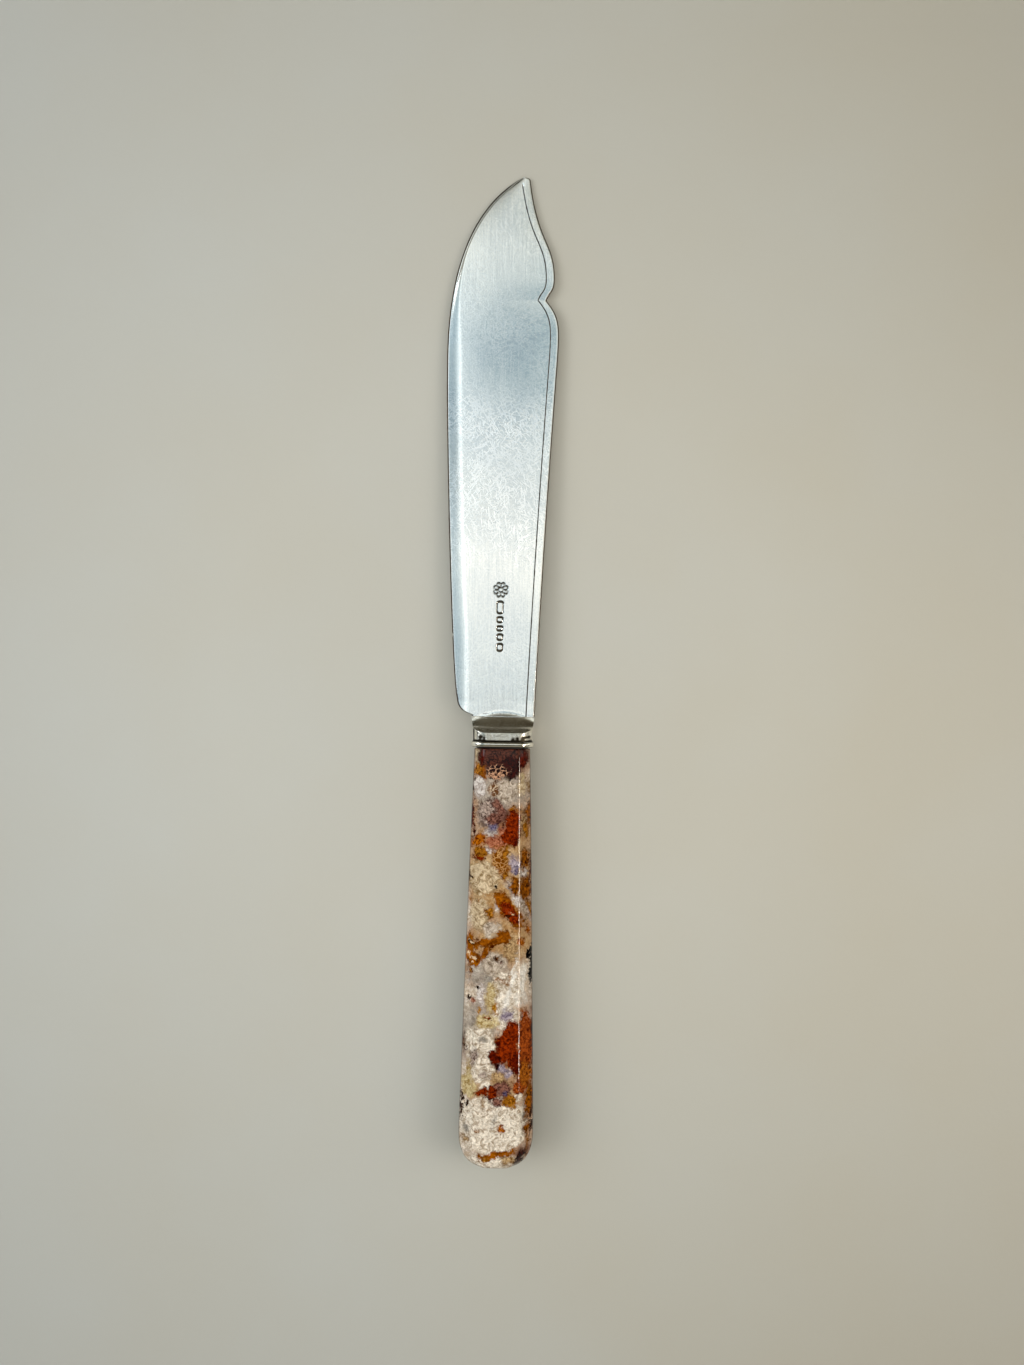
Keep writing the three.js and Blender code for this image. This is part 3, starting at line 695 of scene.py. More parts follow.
# Agate with inclusions: sawn, ground to eight facets and polished to gloss. It gives the eye a white, grainy
# and faintly lilac ground with rust, ochre, plum and violet inclusions, some webbed with pale veins.
# Kinds of inclusion in the order in which they lie over each other: dark and light colour, the pattern that
# mixes them, how soft the border is in millimetres, and where the kind lies on the upper side: across,
# distance behind the bead's rear face, half width, half length, turn in degrees. The places are given at the
# table's scale and drawn in by the share that brings them up to the stone's upper side.
agateKinds = {
    "tanGround": ("#A87C4A", "#D8BE97", "cloud", 1.6, [
        (0, 27, 6.5, 8.5, 0), (1, 41.5, 6, 4.5, 0), (0, 20, 6, 3, 0), (5.5, 65, 2, 4, 0),
        (0, 73, 5, 2.6, 0)]),
    "greyGround": ("#93877B", "#D2C8BC", "cloud", 1.2, [
        (0, 9.5, 5, 3, 0), (-2, 48, 4, 3.5, 0), (-4, 60, 3, 5, 0)]),
    "cream": ("#957A54", "#E8D6B9", "marble", 0.4, [
        (-3.5, 27.9, 3.2, 3.2, 0), (4.1, 8.7, 1, 1.5, 0), (-5.2, 1.9, 0.6, 1.9, 0),
        (1.1, 48.7, 1.1, 1, 0), (-4.2, 35.6, 1.8, 3.2, 0)]),
    "lilacWhite": ("#A29289", "#F0E9E4", "marble", 0.4, [
        (-4.8, 8.7, 1.2, 2.1, 0), (-2, 18.2, 1.5, 1.1, 0), (-2.3, 22, 1, 0.9, 0),
        (5, 26.9, 0.6, 1.1, 0), (-0.3, 34.1, 0.9, 0.9, 0), (4, 32.6, 0.7, 4.6, 35),
        (-3.7, 53.2, 0.8, 2.8, 0)]),
    "greyWhite": ("#8E7D6B", "#E2D5C6", "marble", 0.5, [
        (1, 9.4, 2.3, 2.4, 0), (5.2, 33.8, 0.7, 1.7, 0), (-1.6, 38.7, 1.8, 1.5, 0),
        (-0.9, 46.3, 2.3, 2.4, 0)]),
    "whiteGrain": ("#AC9A84", "#FBF2E5", "marble", 0.4, [
        (-0.8, 80.4, 6.6, 6, 0), (0, 88, 6, 1.8, 0), (1.6, 51.5, 3.4, 3.6, 0),
        (1.5, 57.5, 2.8, 2.4, 0), (-3.6, 63.5, 2.8, 4, 0), (-3.2, 69, 2.4, 2.6, 0),
        (-2.2, 72.3, 1.5, 1.1, 0), (4.9, 74.1, 0.7, 1.1, 0)]),
    "creamNet": ("#7A5438", "#E9D9C0", "web", 0.3, [
        (-1.5, 8.8, 0.9, 1.5, 0)]),
    "speckle": ("#50362E", "#D3C1B5", "grain", 0.5, [
        (-3, 14.3, 1.7, 2.8, 0), (-5, 66, 0.7, 1.6, 0), (-2.6, 69.8, 0.9, 0.8, 0)]),
    "paleOchre": ("#A1854E", "#E2D3AC", "marble", 0.4, [
        (4.3, 6.5, 0.5, 0.7, 0), (-1.4, 52.3, 1, 2.1, 0), (-1.8, 54.1, 1, 1.9, 0),
        (-2.2, 58.4, 2.3, 1.5, 0), (-6.1, 69, 0.4, 1.8, 0), (-6.4, 71, 1.3, 1.1, 0),
        (-5.8, 72.8, 1.6, 1.6, 0)]),
    "tan": ("#74502A", "#D2B68C", "grain", 0.45, [
        (5.8, 8.2, 0.5, 1.1, 0), (4.8, 16, 0.7, 1.7, 0), (5, 18, 0.7, 1.1, 0), (2.8, 43, 1.6, 2.2, 0),
        (5.7, 37, 0.2, 1, 10), (0.4, 69.9, 1.5, 1.4, 0), (-2.8, 75.7, 0.25, 0.9, 0),
        (-1.5, 77.3, 0.4, 0.3, 0), (-6.7, 83.4, 0.7, 0.6, 0), (2.8, 87.8, 1.3, 1, 0)]),
    "white": ("#D4CCC2", "#FFFAF2", "fibre", 0.25, [
        (3.3, 48, 0.35, 2.9, -10), (2.2, 52.3, 0.5, 1.8, -10), (1.8, 54.3, 0.5, 2.1, -10),
        (4, 53.8, 0.4, 1.3, 0), (5.2, 50, 0.6, 3.4, 0)]),
    "lilacGrey": ("#75677A", "#D0C4CA", "grain", 0.5, [
        (2.9, 25.3, 1, 1.9, 0), (1.9, 57.2, 1.2, 1.3, 0), (1.2, 68.2, 1, 1, 0),
        (2.5, 69.4, 0.7, 0.7, 0)]),
    "grey": ("#7E776E", "#B8B0A6", "grain", 0.4, [
        (-2, 49.3, 0.7, 0.7, 0), (-3, 62.3, 0.7, 0.5, 0), (-0.4, 79.1, 0.2, 0.9, -20),
        (-6.2, 81.2, 0.7, 0.7, 0), (5.8, 78.2, 0.5, 0.5, 0)]),
    "pinkBrown": ("#7A3216", "#CF9070", "grain", 0.4, [
        (-0.5, 20.4, 2.4, 1.3, 0), (0.6, 18.2, 1, 1.6, -20), (-5.6, 53.9, 0.3, 0.3, 0)]),
    "tanWeb": ("#8A5214", "#DDB37A", "web", 0.35, [
        (0, 24.2, 1.4, 2.8, 10)]),
    "mauveBrown": ("#3A1A18", "#A67868", "grain", 0.35, [
        (-0.4, 13.2, 1, 2.4, 35), (-1.3, 15.5, 2, 1.3, 0), (0.3, 46, 0.3, 0.3, 0),
        (1.3, 72.7, 1.8, 1.7, 0), (0.2, 75.2, 1.3, 0.8, 0)]),
    "plumWeb": ("#140301", "#744434", "grain", 0.25, [
        (0.2, 2.2, 4.9, 2.9, 0)]),
    "rustWeb": ("#581A04", "#C46A2C", "grain", 0.3, [
        (6.1, 63.3, 1.6, 5.2, 0), (5.5, 57.6, 0.7, 1.6, 0), (5.2, 71.9, 1.7, 1.2, 0)]),
    "orangeWeb": ("#5E2604", "#D08430", "grain", 0.3, [
        (6, 69.7, 1.3, 2.4, 0)]),
    "ochre": ("#5C3004", "#CC8E30", "grain", 0.3, [
        (-5, 5.1, 1.2, 1.3, 0), (2.6, 13.5, 0.6, 0.8, 0), (-4.3, 22.7, 1.3, 1.3, 0),
        (1.3, 22.7, 0.6, 1.7, -10), (1, 27.8, 0.5, 1.2, 20), (-0.8, 31.2, 0.6, 0.5, 0),
        (-2.2, 35.3, 0.9, 1, 20), (-6.2, 32.7, 0.3, 0.3, 0), (-4.1, 32.6, 0.3, 0.25, 0),
        (-6, 47.9, 0.3, 0.7, 0), (-0.4, 49.3, 0.5, 0.2, -10), (0.5, 49.8, 0.6, 0.2, -35),
        (1.5, 50.2, 0.6, 0.2, 0), (2.3, 49.4, 0.2, 0.7, 0), (2.9, 75.1, 1.4, 1.4, 0),
        (-4, 81.4, 0.6, 0.3, 0), (6.8, 83.8, 0.2, 1.7, 0), (5.4, 17.6, 0.7, 1.8, 0),
        (6.2, 34.5, 0.5, 2, 20)]),
    "golden": ("#8E5A10", "#D6A446", "grain", 0.25, [
        (-0.8, 55.8, 0.5, 0.9, 0), (-4, 56.2, 0.3, 0.5, 20), (3.2, 76.4, 0.6, 0.3, 0),
        (-1.9, 87.3, 1.2, 0.6, 10)]),
    "ochreBrown": ("#422002", "#B46E14", "grain", 0.35, [
        (6, 14, 0.7, 2, 0), (5.2, 24, 0.9, 2, 0), (5.4, 30, 1.1, 2.4, 0), (7, 75.3, 1, 3.4, -10),
        (6.6, 81, 0.6, 1, 0), (-3.2, 87.1, 0.6, 0.7, 0), (3.2, 29.7, 1, 1.8, 0)]),
    "orange": ("#6A2A02", "#D2821C", "grain", 0.3, [
        (-4.4, 19.7, 1.3, 1.3, 0), (-5.7, 20.7, 0.7, 0.7, 0), (4.8, 41.4, 0.5, 0.6, 0),
        (6.1, 38.8, 0.4, 0.7, 10), (1, 80.9, 0.6, 0.6, 0)]),
    "ochreRust": ("#522402", "#C07614", "cloud", 0.25, [
        (-3.7, 5.8, 0.5, 1.3, -10), (2, 34.7, 1.6, 4.2, 35), (-2.5, 41.7, 4.1, 0.9, 10),
        (1.1, 40.5, 1.3, 1.4, 0), (-6.1, 42.1, 0.9, 1.8, 0), (-5.3, 45.2, 1.4, 1.4, 0),
        (-3, 43.9, 0.7, 1.5, -20), (0.9, 86.5, 3, 0.7, 10), (3.6, 85.5, 0.8, 0.4, 35)]),
    "rust": ("#420E02", "#A8430A", "grain", 0.25, [
        (4.2, 4.1, 0.5, 0.5, 0), (2.4, 16.3, 1.3, 2.8, -20), (2.5, 18.6, 1.3, 2.3, 0),
        (1.7, 19.4, 1.4, 1.6, 0), (-4.4, 23.8, 1.2, 0.4, -10), (2.2, 35.2, 1.3, 2.5, 35),
        (-2.2, 57.8, 0.9, 0.5, 0), (2.3, 62.6, 1.9, 4.4, -20), (3.5, 65.5, 1.3, 3.6, 10),
        (-3, 73.3, 1.3, 0.8, 0), (-0.9, 73.2, 0.9, 1.3, 0)]),
    "deepRust": ("#360A02", "#7E2806", "grain", 0.25, [
        (-4.1, 1.9, 0.4, 1.5, -10), (4.5, 2.6, 0.7, 1.7, 0), (-6.1, 15, 0.4, 3.4, 0),
        (3.1, 20.3, 0.7, 0.7, 0), (6.4, 26.2, 0.35, 2.6, 0), (0.2, 63.2, 0.35, 1.5, 0),
        (-0.6, 66.1, 1, 1.6, 20), (4, 67.8, 0.8, 2.3, 10), (-1.5, 74.4, 0.8, 0.25, 0)]),
    "brown": ("#2C1404", "#84501C", "grain", 0.3, [
        (-0.3, 45.2, 0.5, 0.5, 0), (-7, 63.1, 0.3, 1.3, 0)]),
    "maroon": ("#160302", "#4E180C", "grain", 0.35, [
        (1.7, 4.5, 2.1, 2.2, 0), (7.4, 60.9, 0.35, 2.6, 0), (0.1, 67.7, 0.5, 0.5, 0),
        (5.3, 87.2, 0.8, 1.9, -35)]),
    "pinkWeb": ("#2E0C06", "#E6B898", "web", 0.35, [
        (-0.8, 5.4, 2.2, 1.6, 0)]),
    "violet": ("#3A3048", "#9A90AE", "grain", 0.45, [
        (-1.8, 17.3, 1.3, 0.8, 0), (3.5, 26.4, 0.5, 0.7, 0), (1.7, 73.4, 0.5, 0.7, 0)]),
    "darkBrown": ("#260E04", "#582C0C", "grain", 0.15, [
        (-6.1, 8.2, 0.3, 1.5, 0), (-6.5, 27.7, 0.25, 1, 0), (1.7, 35.9, 0.5, 0.4, 0),
        (-5.9, 41.6, 0.5, 0.5, 0), (7.5, 78, 0.3, 1.6, -10), (-7.5, 76.4, 0.3, 2.4, 0),
        (7.5, 80.5, 0.25, 1.3, -10)]),
    "black": ("#020101", "#0C0807", "grain", 0.1, [
        (6.7, 44, 0.5, 1.3, 0), (7, 47.3, 0.5, 3, 0)]),
    "darkDot": ("#20100A", "#4A2C18", "grain", 0.1, [
        (-1, 29.6, 0.2, 0.25, 0), (-4.4, 51.6, 0.3, 0.25, 0), (-6.4, 76.1, 0.3, 0.5, 0),
        (-6.2, 53.5, 0.35, 0.35, 0)]),
    "whiteDash": ("#D8B98E", "#F8E8CE", "grain", 0.1, [
        (2.1, 35.1, 0.6, 0.15, -20), (-5.8, 41.6, 0.3, 0.2, -35), (-6.2, 44.5, 0.35, 0.3, 0),
        (-5.2, 44.9, 0.3, 0.3, 0), (-5.5, 45.8, 0.3, 0.3, 0), (-2.2, 57.7, 0.3, 0.25, 0)]),
}
# Larger inclusions for the underside, which no picture shows
underInclusions = {
    "cream": [(2.6, 34, 2.6, 3.2, 0)],
    "greyWhite": [(1, 8, 3, 4, 10), (-2.8, 47, 2.6, 3.4, 0)],
    "whiteGrain": [(1, 80, 5, 4.6, 0)],
    "speckle": [(-2.2, 18, 2.6, 3, 0)],
    "paleOchre": [(-2.4, 57, 2.2, 2.6, 0)],
    "lilacGrey": [(3.4, 69, 1.8, 1.8, 0)],
    "tanWeb": [(1.5, 24, 1.8, 3.4, -20)],
    "plumWeb": [(-2, 4, 3.2, 3, 0)],
    "rustWeb": [(3.8, 52, 1.8, 4.2, 10)],
    "ochre": [(-4.6, 74, 1.6, 1.8, 0)],
    "orange": [(-1.8, 82, 0.8, 0.7, 0)],
    "ochreRust": [(-3, 30, 2.6, 1.4, 20), (0.4, 41, 4.4, 1.1, -10)],
    "rust": [(3.4, 13, 1.8, 3.2, 10), (-1.6, 65, 2.4, 4.4, -10), (1.4, 86, 2.4, 0.6, -10)],
    "maroon": [(0.4, 67, 0.9, 1.6, 0)],
}


def makeAgate(name, look):
    material, tree = newMaterial(name)
    place = addNode(tree, "ShaderNodeAttribute", attribute_name="knife").outputs["Vector"]
    grimeAndShade = addNode(tree, "ShaderNodeAttribute", attribute_name="grimeAndShade").outputs["Fac"]
    # ragged borders: the places are pushed about by several sizes of noise
    ragged = place
    for size, push in look["ragged"]:
        noise = addNode(tree, "ShaderNodeTexNoise", {
            "Vector": place, "Scale": 1 / size, "Detail": 2.0, "Roughness": 0.6}).outputs["Color"]
        around = addNode(tree, "ShaderNodeVectorMath", {
            0: noise, 1: (0.5, 0.5, 0.5)}, operation="SUBTRACT").outputs[0]
        ragged = addNode(tree, "ShaderNodeVectorMath", {
            0: around, 1: (push, push, push), 2: ragged}, operation="MULTIPLY_ADD").outputs[0]
    # patterns that mottle the inclusions
    grain = addNode(tree, "ShaderNodeTexNoise", {
        "Vector": place, "Scale": 1 / look["grainSize"], "Detail": 3.0, "Roughness": 0.62,
        "Distortion": look["grainCurl"]}).outputs["Fac"]
    cloud = addNode(tree, "ShaderNodeTexNoise", {
        "Vector": place, "Scale": 1 / look["cloudSize"], "Detail": 3.0, "Roughness": 0.6}).outputs["Fac"]
    bent = addNode(tree, "ShaderNodeVectorMath", {
        0: around, 1: [look["webBend"]] * 3, 2: place}, operation="MULTIPLY_ADD").outputs[0]
    veins = addNode(tree, "ShaderNodeTexVoronoi", {
        "Vector": bent, "Scale": 1 / look["webSize"]}, feature="DISTANCE_TO_EDGE").outputs["Distance"]
    marble = addNode(tree, "ShaderNodeTexNoise", {
        "Vector": place, "Scale": 1 / look["marbleSize"], "Detail": 4.0, "Roughness": 0.68,
        "Distortion": look["marbleCurl"]}).outputs["Fac"]
    stretched = addNode(tree, "ShaderNodeVectorMath", {
        0: ragged, 1: (1 / look["fibreWidth"], 1 / look["fibreLength"], 1 / look["fibreWidth"])},
        operation="MULTIPLY").outputs[0]
    fibre = addNode(tree, "ShaderNodeTexNoise", {
        "Vector": stretched, "Scale": 1.0, "Detail": 2.0}).outputs["Fac"]
    patterns = {"grain": grain, "cloud": cloud, "web": veins, "fibre": fibre, "marble": marble}
    for kind, (low, high) in look["patternEnds"].items():
        patterns[kind] = addNode(tree, "ShaderNodeMapRange", {
            "Value": patterns[kind], "From Min": low, "From Max": high}, clamp=False).outputs[0]
    # a little grain on top of the veins and clouds, so that no inclusion is even
    for kind in ("web", "cloud"):
        patterns[kind] = addNode(tree, "ShaderNodeMix", {
            0: look["grainShare"], 2: patterns[kind], 3: patterns["grain"]}, data_type="FLOAT").outputs[0]
    # the same places seen along slanted axes, for inclusions that lie at an angle
    turned = {0: ragged}
    slants = {spot[4] for kind in agateKinds.values() for spot in kind[4]}
    slants |= {spot[4] for spots in underInclusions.values() for spot in spots}
    for turn in sorted(slants - {0}):
        axes = Matrix.Rotation(-math.radians(turn), 3, "Z")
        turned[turn] = addNode(tree, "ShaderNodeCombineXYZ", {
            number: addNode(tree, "ShaderNodeVectorMath", {
                0: ragged, 1: axis}, operation="DOT_PRODUCT").outputs["Value"]
            for number, axis in enumerate(axes)}).outputs[0]
    # distance in millimetres to the nearest inclusion of each kind, less than nothing inside it
    away = {}
    for kind, facts in agateKinds.items():
        spots = [(spot, look["inclusionDeep"]) for spot in facts[4]]
        spots += [(spot, -look["inclusionDeep"]) for spot in underInclusions.get(kind, [])]
        for (across, along, halfWidth, halfLength, turn), deep in spots:
            size = Vector((halfWidth * look["grow"], halfLength * look["grow"], look["inclusionHigh"]))
            centre = Vector((mix(cameraSetup["centre"][0], across, look["drawnIn"]),
                             mix(cameraSetup["centre"][1], -along, look["drawnIn"]), deep))
            centre = Matrix.Rotation(-math.radians(turn), 3, "Z") @ centre
            near = addNode(tree, "ShaderNodeVectorMath", {
                0: turned[turn], 1: [1 / c for c in size], 2: [-p / c for p, c in zip(centre, size)]},
                operation="MULTIPLY_ADD").outputs[0]
            far = addNode(tree, "ShaderNodeVectorMath", {0: near}, operation="LENGTH").outputs["Value"]
            thin = min(halfWidth, halfLength)
            far = addNode(tree, "ShaderNodeMath", {
                0: far, 1: thin, 2: -thin}, operation="MULTIPLY_ADD").outputs[0]
            away[kind] = far if kind not in away else addNode(
                tree, "ShaderNodeMath", {0: away[kind], 1: far}, operation="MINIMUM").outputs[0]
    # ground of the stone, stained round the warm and round the dark inclusions
    pale = addNode(tree, "ShaderNodeMix", {
        0: patterns["cloud"], 6: linear(look["groundLilac"]), 7: linear(look["groundCream"])},
        data_type="RGBA").outputs[2]
    dusk = addNode(tree, "ShaderNodeMix", {
        0: patterns["cloud"], 6: linear(look["groundGrey"]), 7: linear(look["groundTan"])},
        data_type="RGBA").outputs[2]
    colour = addNode(tree, "ShaderNodeMix", {
        0: patterns["grain"], 6: dusk, 7: pale}, data_type="RGBA").outputs[2]
    for kinds, width, stain in look["stains"]:
        nearest = None
        for kind in kinds:
            nearest = away[kind] if nearest is None else addNode(
                tree, "ShaderNodeMath", {0: nearest, 1: away[kind]}, operation="MINIMUM").outputs[0]
        halo = addNode(tree, "ShaderNodeMapRange", {
            "Value": nearest, "From Min": width, "From Max": 0.0, "To Max": look["stainShare"]},
            interpolation_type="SMOOTHSTEP", clamp=False).outputs[0]
        halo = addNode(tree, "ShaderNodeMath", {
            0: halo, 1: patterns["cloud"]}, operation="MULTIPLY").outputs[0]
        colour = addNode(tree, "ShaderNodeMix", {
            0: halo, 6: colour, 7: linear(stain)}, data_type="RGBA").outputs[2]
    # the inclusions, each kind over those before it
    for kind, (dark, light, pattern, border, spots) in agateKinds.items():
        rough = addNode(tree, "ShaderNodeMath", {
            0: grain, 1: look["borderGrain"], 2: away[kind]}, operation="MULTIPLY_ADD").outputs[0]
        middle = look["borderGrain"] / 2
        inside = addNode(tree, "ShaderNodeMapRange", {
            "Value": rough, "From Min": middle + border, "From Max": middle - border},
            interpolation_type="SMOOTHSTEP", clamp=False).outputs[0]
        # each inclusion darkens to its rim
        lit = addNode(tree, "ShaderNodeMath", {
            0: patterns[pattern], 1: inside}, operation="MULTIPLY").outputs[0]
        paint = addNode(tree, "ShaderNodeMix", {
            0: lit, 6: linear(dark), 7: linear(light)}, data_type="RGBA").outputs[2]
        colour = addNode(tree, "ShaderNodeMix", {
            0: inside, 6: colour, 7: paint}, data_type="RGBA").outputs[2]
    # the polish deepens the colours
    colour = addNode(tree, "ShaderNodeGamma", {"Color": colour, "Gamma": look["deepen"]}).outputs[0]
    # painted shade along the lower arrises and over the whole underside
    shade = addNode(tree, "ShaderNodeMath", {
        0: grimeAndShade, 1: look["rimShadeShare"]}, operation="MULTIPLY").outputs[0]
    colour = addNode(tree, "ShaderNodeMix", {
        0: shade, 6: colour, 7: linear(look["rim"])}, data_type="RGBA").outputs[2]
    # fine sparkle of the crystals
    sparkle = addNode(tree, "ShaderNodeTexNoise", {
        "Vector": place, "Scale": 1 / look["sparkleSize"], "Detail": 2.0, "Roughness": 0.7}).outputs["Fac"]
    sparkle = addNode(tree, "ShaderNodeMapRange", {
        "Value": sparkle, "From Min": look["noiseFrom"], "From Max": look["noiseTo"],
        "To Min": look["depth"] - look["sparkle"], "To Max": look["depth"] + look["sparkle"]},
        clamp=False).outputs[0]
    colour = addNode(tree, "ShaderNodeVectorMath", {
        0: colour, "Scale": sparkle}, operation="SCALE").outputs[0]
    # polish, with faint pits
    bumps = addNode(tree, "ShaderNodeTexNoise", {
        "Vector": place, "Scale": 1 / look["pitSize"], "Detail": 2.0}).outputs["Fac"]
    normal = addNode(tree, "ShaderNodeBump", {
        "Height": bumps, "Distance": look["pitDepth"] * mm, "Strength": 1.0}).outputs[0]
    gloss = addNode(tree, "ShaderNodeMapRange", {
        "Value": grain, "From Min": look["noiseFrom"], "From Max": look["noiseTo"],
        "To Min": look["roughness"] * (1 - look["roughSpread"]),
        "To Max": look["roughness"] * (1 + look["roughSpread"])}).outputs[0]
    shader = addNode(tree, "ShaderNodeBsdfPrincipled", {
        "Base Color": colour, "Roughness": gloss, "IOR": look["ior"], "Specular IOR Level": look["shine"],
        "Normal": normal})
    addNode(tree, "ShaderNodeOutputMaterial", {"Surface": shader.outputs[0]})
    return material


agate = makeAgate("polished_agate", {
    "ragged": [(2.4, 2.2), (0.9, 1.3), (0.35, 0.5)],
    "grainSize": 0.6, "grainCurl": 0.8, "marbleSize": 1.3, "marbleCurl": 1.4, "cloudSize": 2.4,
    "webSize": 1.0, "webBend": 0.6, "fibreWidth": 0.4, "fibreLength": 2.5,
    # where each pattern is darkest and where it is lightest
    "patternEnds": {"grain": (0.34, 0.64), "cloud": (0.35, 0.65), "web": (0.085, 0.02), "fibre": (0.3, 0.65),
                    "marble": (0.36, 0.6)},
    "grainShare": 0.35, "borderGrain": 1.2, "noiseFrom": 0.3, "noiseTo": 0.7,
    "groundLilac": "#EEE5DF", "groundCream": "#F9EFDE", "groundGrey": "#BAAD9F", "groundTan": "#BC9F7A",
    # kinds that stain the stone round them, how far in millimetres, and the colour
    "stains": [(("rust", "deepRust", "ochreRust", "ochre", "orange", "ochreBrown", "tanWeb", "rustWeb",
                 "golden"), 1.7, "#A86C2A"),
               (("plumWeb", "maroon", "mauveBrown", "violet", "brown"), 1.2, "#6E4A45")],
    "stainShare": 0.9, "deepen": 1.2, "grow": 1.12, "drawnIn": 0.986,
    "rim": "#2A1A0E", "rimShadeShare": 0.75, "inclusionDeep": 3.2, "inclusionHigh": 5.6,
    "depth": 0.78, "sparkle": 0.18, "sparkleSize": 0.35,
    "pitSize": 0.5, "pitDepth": 0.002, "roughness": 0.07, "roughSpread": 0.3, "ior": 1.54, "shine": 0.15,
})
print("agate made:", len(agateKinds), "kinds of inclusion")

# Handle: an elongated octagon in section that tapers to the bead, with softened arrises and a rounded butt
handleShape = {
    "frontWidth": 11.8, "buttWidth": 16.1, "frontHeight": 8.0, "buttHeight": 9.6,
    "flatFront": 7.3, "flatButt": 9.9, "sideFront": 3.4, "sideButt": 4.2, "bow": 0.12,
    "arris": 0.8, "arrisShare": 0.4, "frontRound": 0.2, "boreRadius": 2.41, "boreEnd": -52.6,
    # the butt is a superellipse: its length, its length in side view, its power, where its end is cut flat
    "buttLength": 9.0, "buttCrown": 5.0, "fullness": 2.6, "lastTurn": 0.93,
    "shadeZone": (0.35, -0.5),   # painted shade begins and is full so far above the lower arrises of the upper half, and covers all below
    "buttSteps": 26, "shaftSteps": 50, "frontSteps": 4,
}


def softCorners(corners, softness, steps=8, between=3):
    ring = []
    for i, corner in enumerate(corners):
        before, after = corners[i - 1], corners[(i + 1) % len(corners)]
        share = handleShape["arrisShare"]
        start = corner.lerp(before, min(softness / (corner - before).length, share))
        end = corner.lerp(after, min(softness / (corner - after).length, share))
        ring += [bezierPoint([start, corner, end], k / steps) for k in range(steps + 1)]
        nextStart = after.lerp(corner, min(softness / (corner - after).length, share))
        ring += [end.lerp(nextStart, k / (between + 1)) for k in range(1, between + 1)]
    return ring


def handleRing(y, widthShare=1.0, heightShare=1.0):
    s = handleShape
    along = (handleHigh.y - y) / (handleHigh.y - handleLow.y)
    bow = s["bow"] * 4 * along * (1 - along)
    half = widthShare * (mix(s["frontWidth"], s["buttWidth"], along) / 2 + bow)
    flat = widthShare * mix(s["flatFront"], s["flatButt"], along) / 2
    top = heightShare * mix(s["frontHeight"], s["buttHeight"], along) / 2
    side = heightShare * mix(s["sideFront"], s["sideButt"], along) / 2
    corners = [Vector(c) for c in ((-flat, -top), (flat, -top), (half, -side), (half, side),
                                   (flat, top), (-flat, top), (-half, side), (-half, -side))]
    ring = softCorners(corners, s["arris"] * min(widthShare, heightShare))
    # the sides below their upper arrises and the underside are painted dark: painted shade
    return [(p.x, y, p.y, smooth(*(side + f for f in s["shadeZone"]), p.y)) for p in ring]


def endShare(depth):
    fullness = handleShape["fullness"]
    return (1 - clamp(depth) ** fullness) ** (1 / fullness)


def handleRings():
    s = handleShape
    deepest = math.sin(s["lastTurn"] * math.pi / 2) ** (2 / s["fullness"])
    rings = []
    steps = s["buttSteps"]
    for k in range(steps):
        turn = s["lastTurn"] * (steps - k) / steps * math.pi / 2
        depth = math.sin(turn) ** (2 / s["fullness"])
        fromEnd = s["buttLength"] * (1 - depth / deepest)
        tall = endShare(depth - depth * fromEnd / s["buttCrown"])
        rings.append(handleRing(handleLow.y + fromEnd, endShare(depth), tall))
    shaftStart = handleLow.y + s["buttLength"]
    shaftEnd = handleHigh.y - s["frontRound"]
    steps = s["shaftSteps"]
    rings += [handleRing(mix(shaftStart, shaftEnd, k / steps)) for k in range(steps + 1)]
    for k in range(1, s["frontSteps"] + 1):
        a = k / s["frontSteps"] * math.pi / 2
        shrink = 1 - s["frontRound"] * (1 - math.cos(a)) / (s["frontHeight"] / 2)
        rings.append(handleRing(shaftEnd + s["frontRound"] * math.sin(a), shrink, shrink))
    bore = []
    for x, y, z, dirtAndShade in rings[-1]:
        a = math.atan2(z, x)
        bore.append((s["boreRadius"] * math.cos(a), y, s["boreRadius"] * math.sin(a), 0))
    rings.append(bore)
    rings.append([(x, s["boreEnd"], z, 0) for x, y, z, dirtAndShade in bore])
    return rings


makePiece("agate_handle", handleRings(), "handle", agate, sharp=50)


# Forged steel, left dull from the hammer: dark grey with scale and small dents
def makeSteel(name, look):
    material, tree = newMaterial(name)
    place = addNode(tree, "ShaderNodeTexCoord").outputs["Object"]
    scale = addNode(tree, "ShaderNodeTexNoise", {
        "Vector": place, "Scale": 1 / (look["scaleSize"] * mm), "Detail": 4.0}).outputs["Fac"]
    colour = addNode(tree, "ShaderNodeMix", {
        0: scale, 6: linear(look["dark"]), 7: linear(look["bright"])}, data_type="RGBA").outputs[2]
    rough = addNode(tree, "ShaderNodeMapRange", {
        "Value": scale, "To Min": look["roughLeast"], "To Max": look["roughMost"]}).outputs[0]
    normal = addNode(tree, "ShaderNodeBump", {"Height": scale, "Distance": look["dent"] * mm}).outputs[0]
    shader = addNode(tree, "ShaderNodeBsdfPrincipled", {
        "Base Color": colour, "Metallic": 1.0, "Roughness": rough, "Normal": normal})
    addNode(tree, "ShaderNodeOutputMaterial", {"Surface": shader.outputs[0]})
    return material


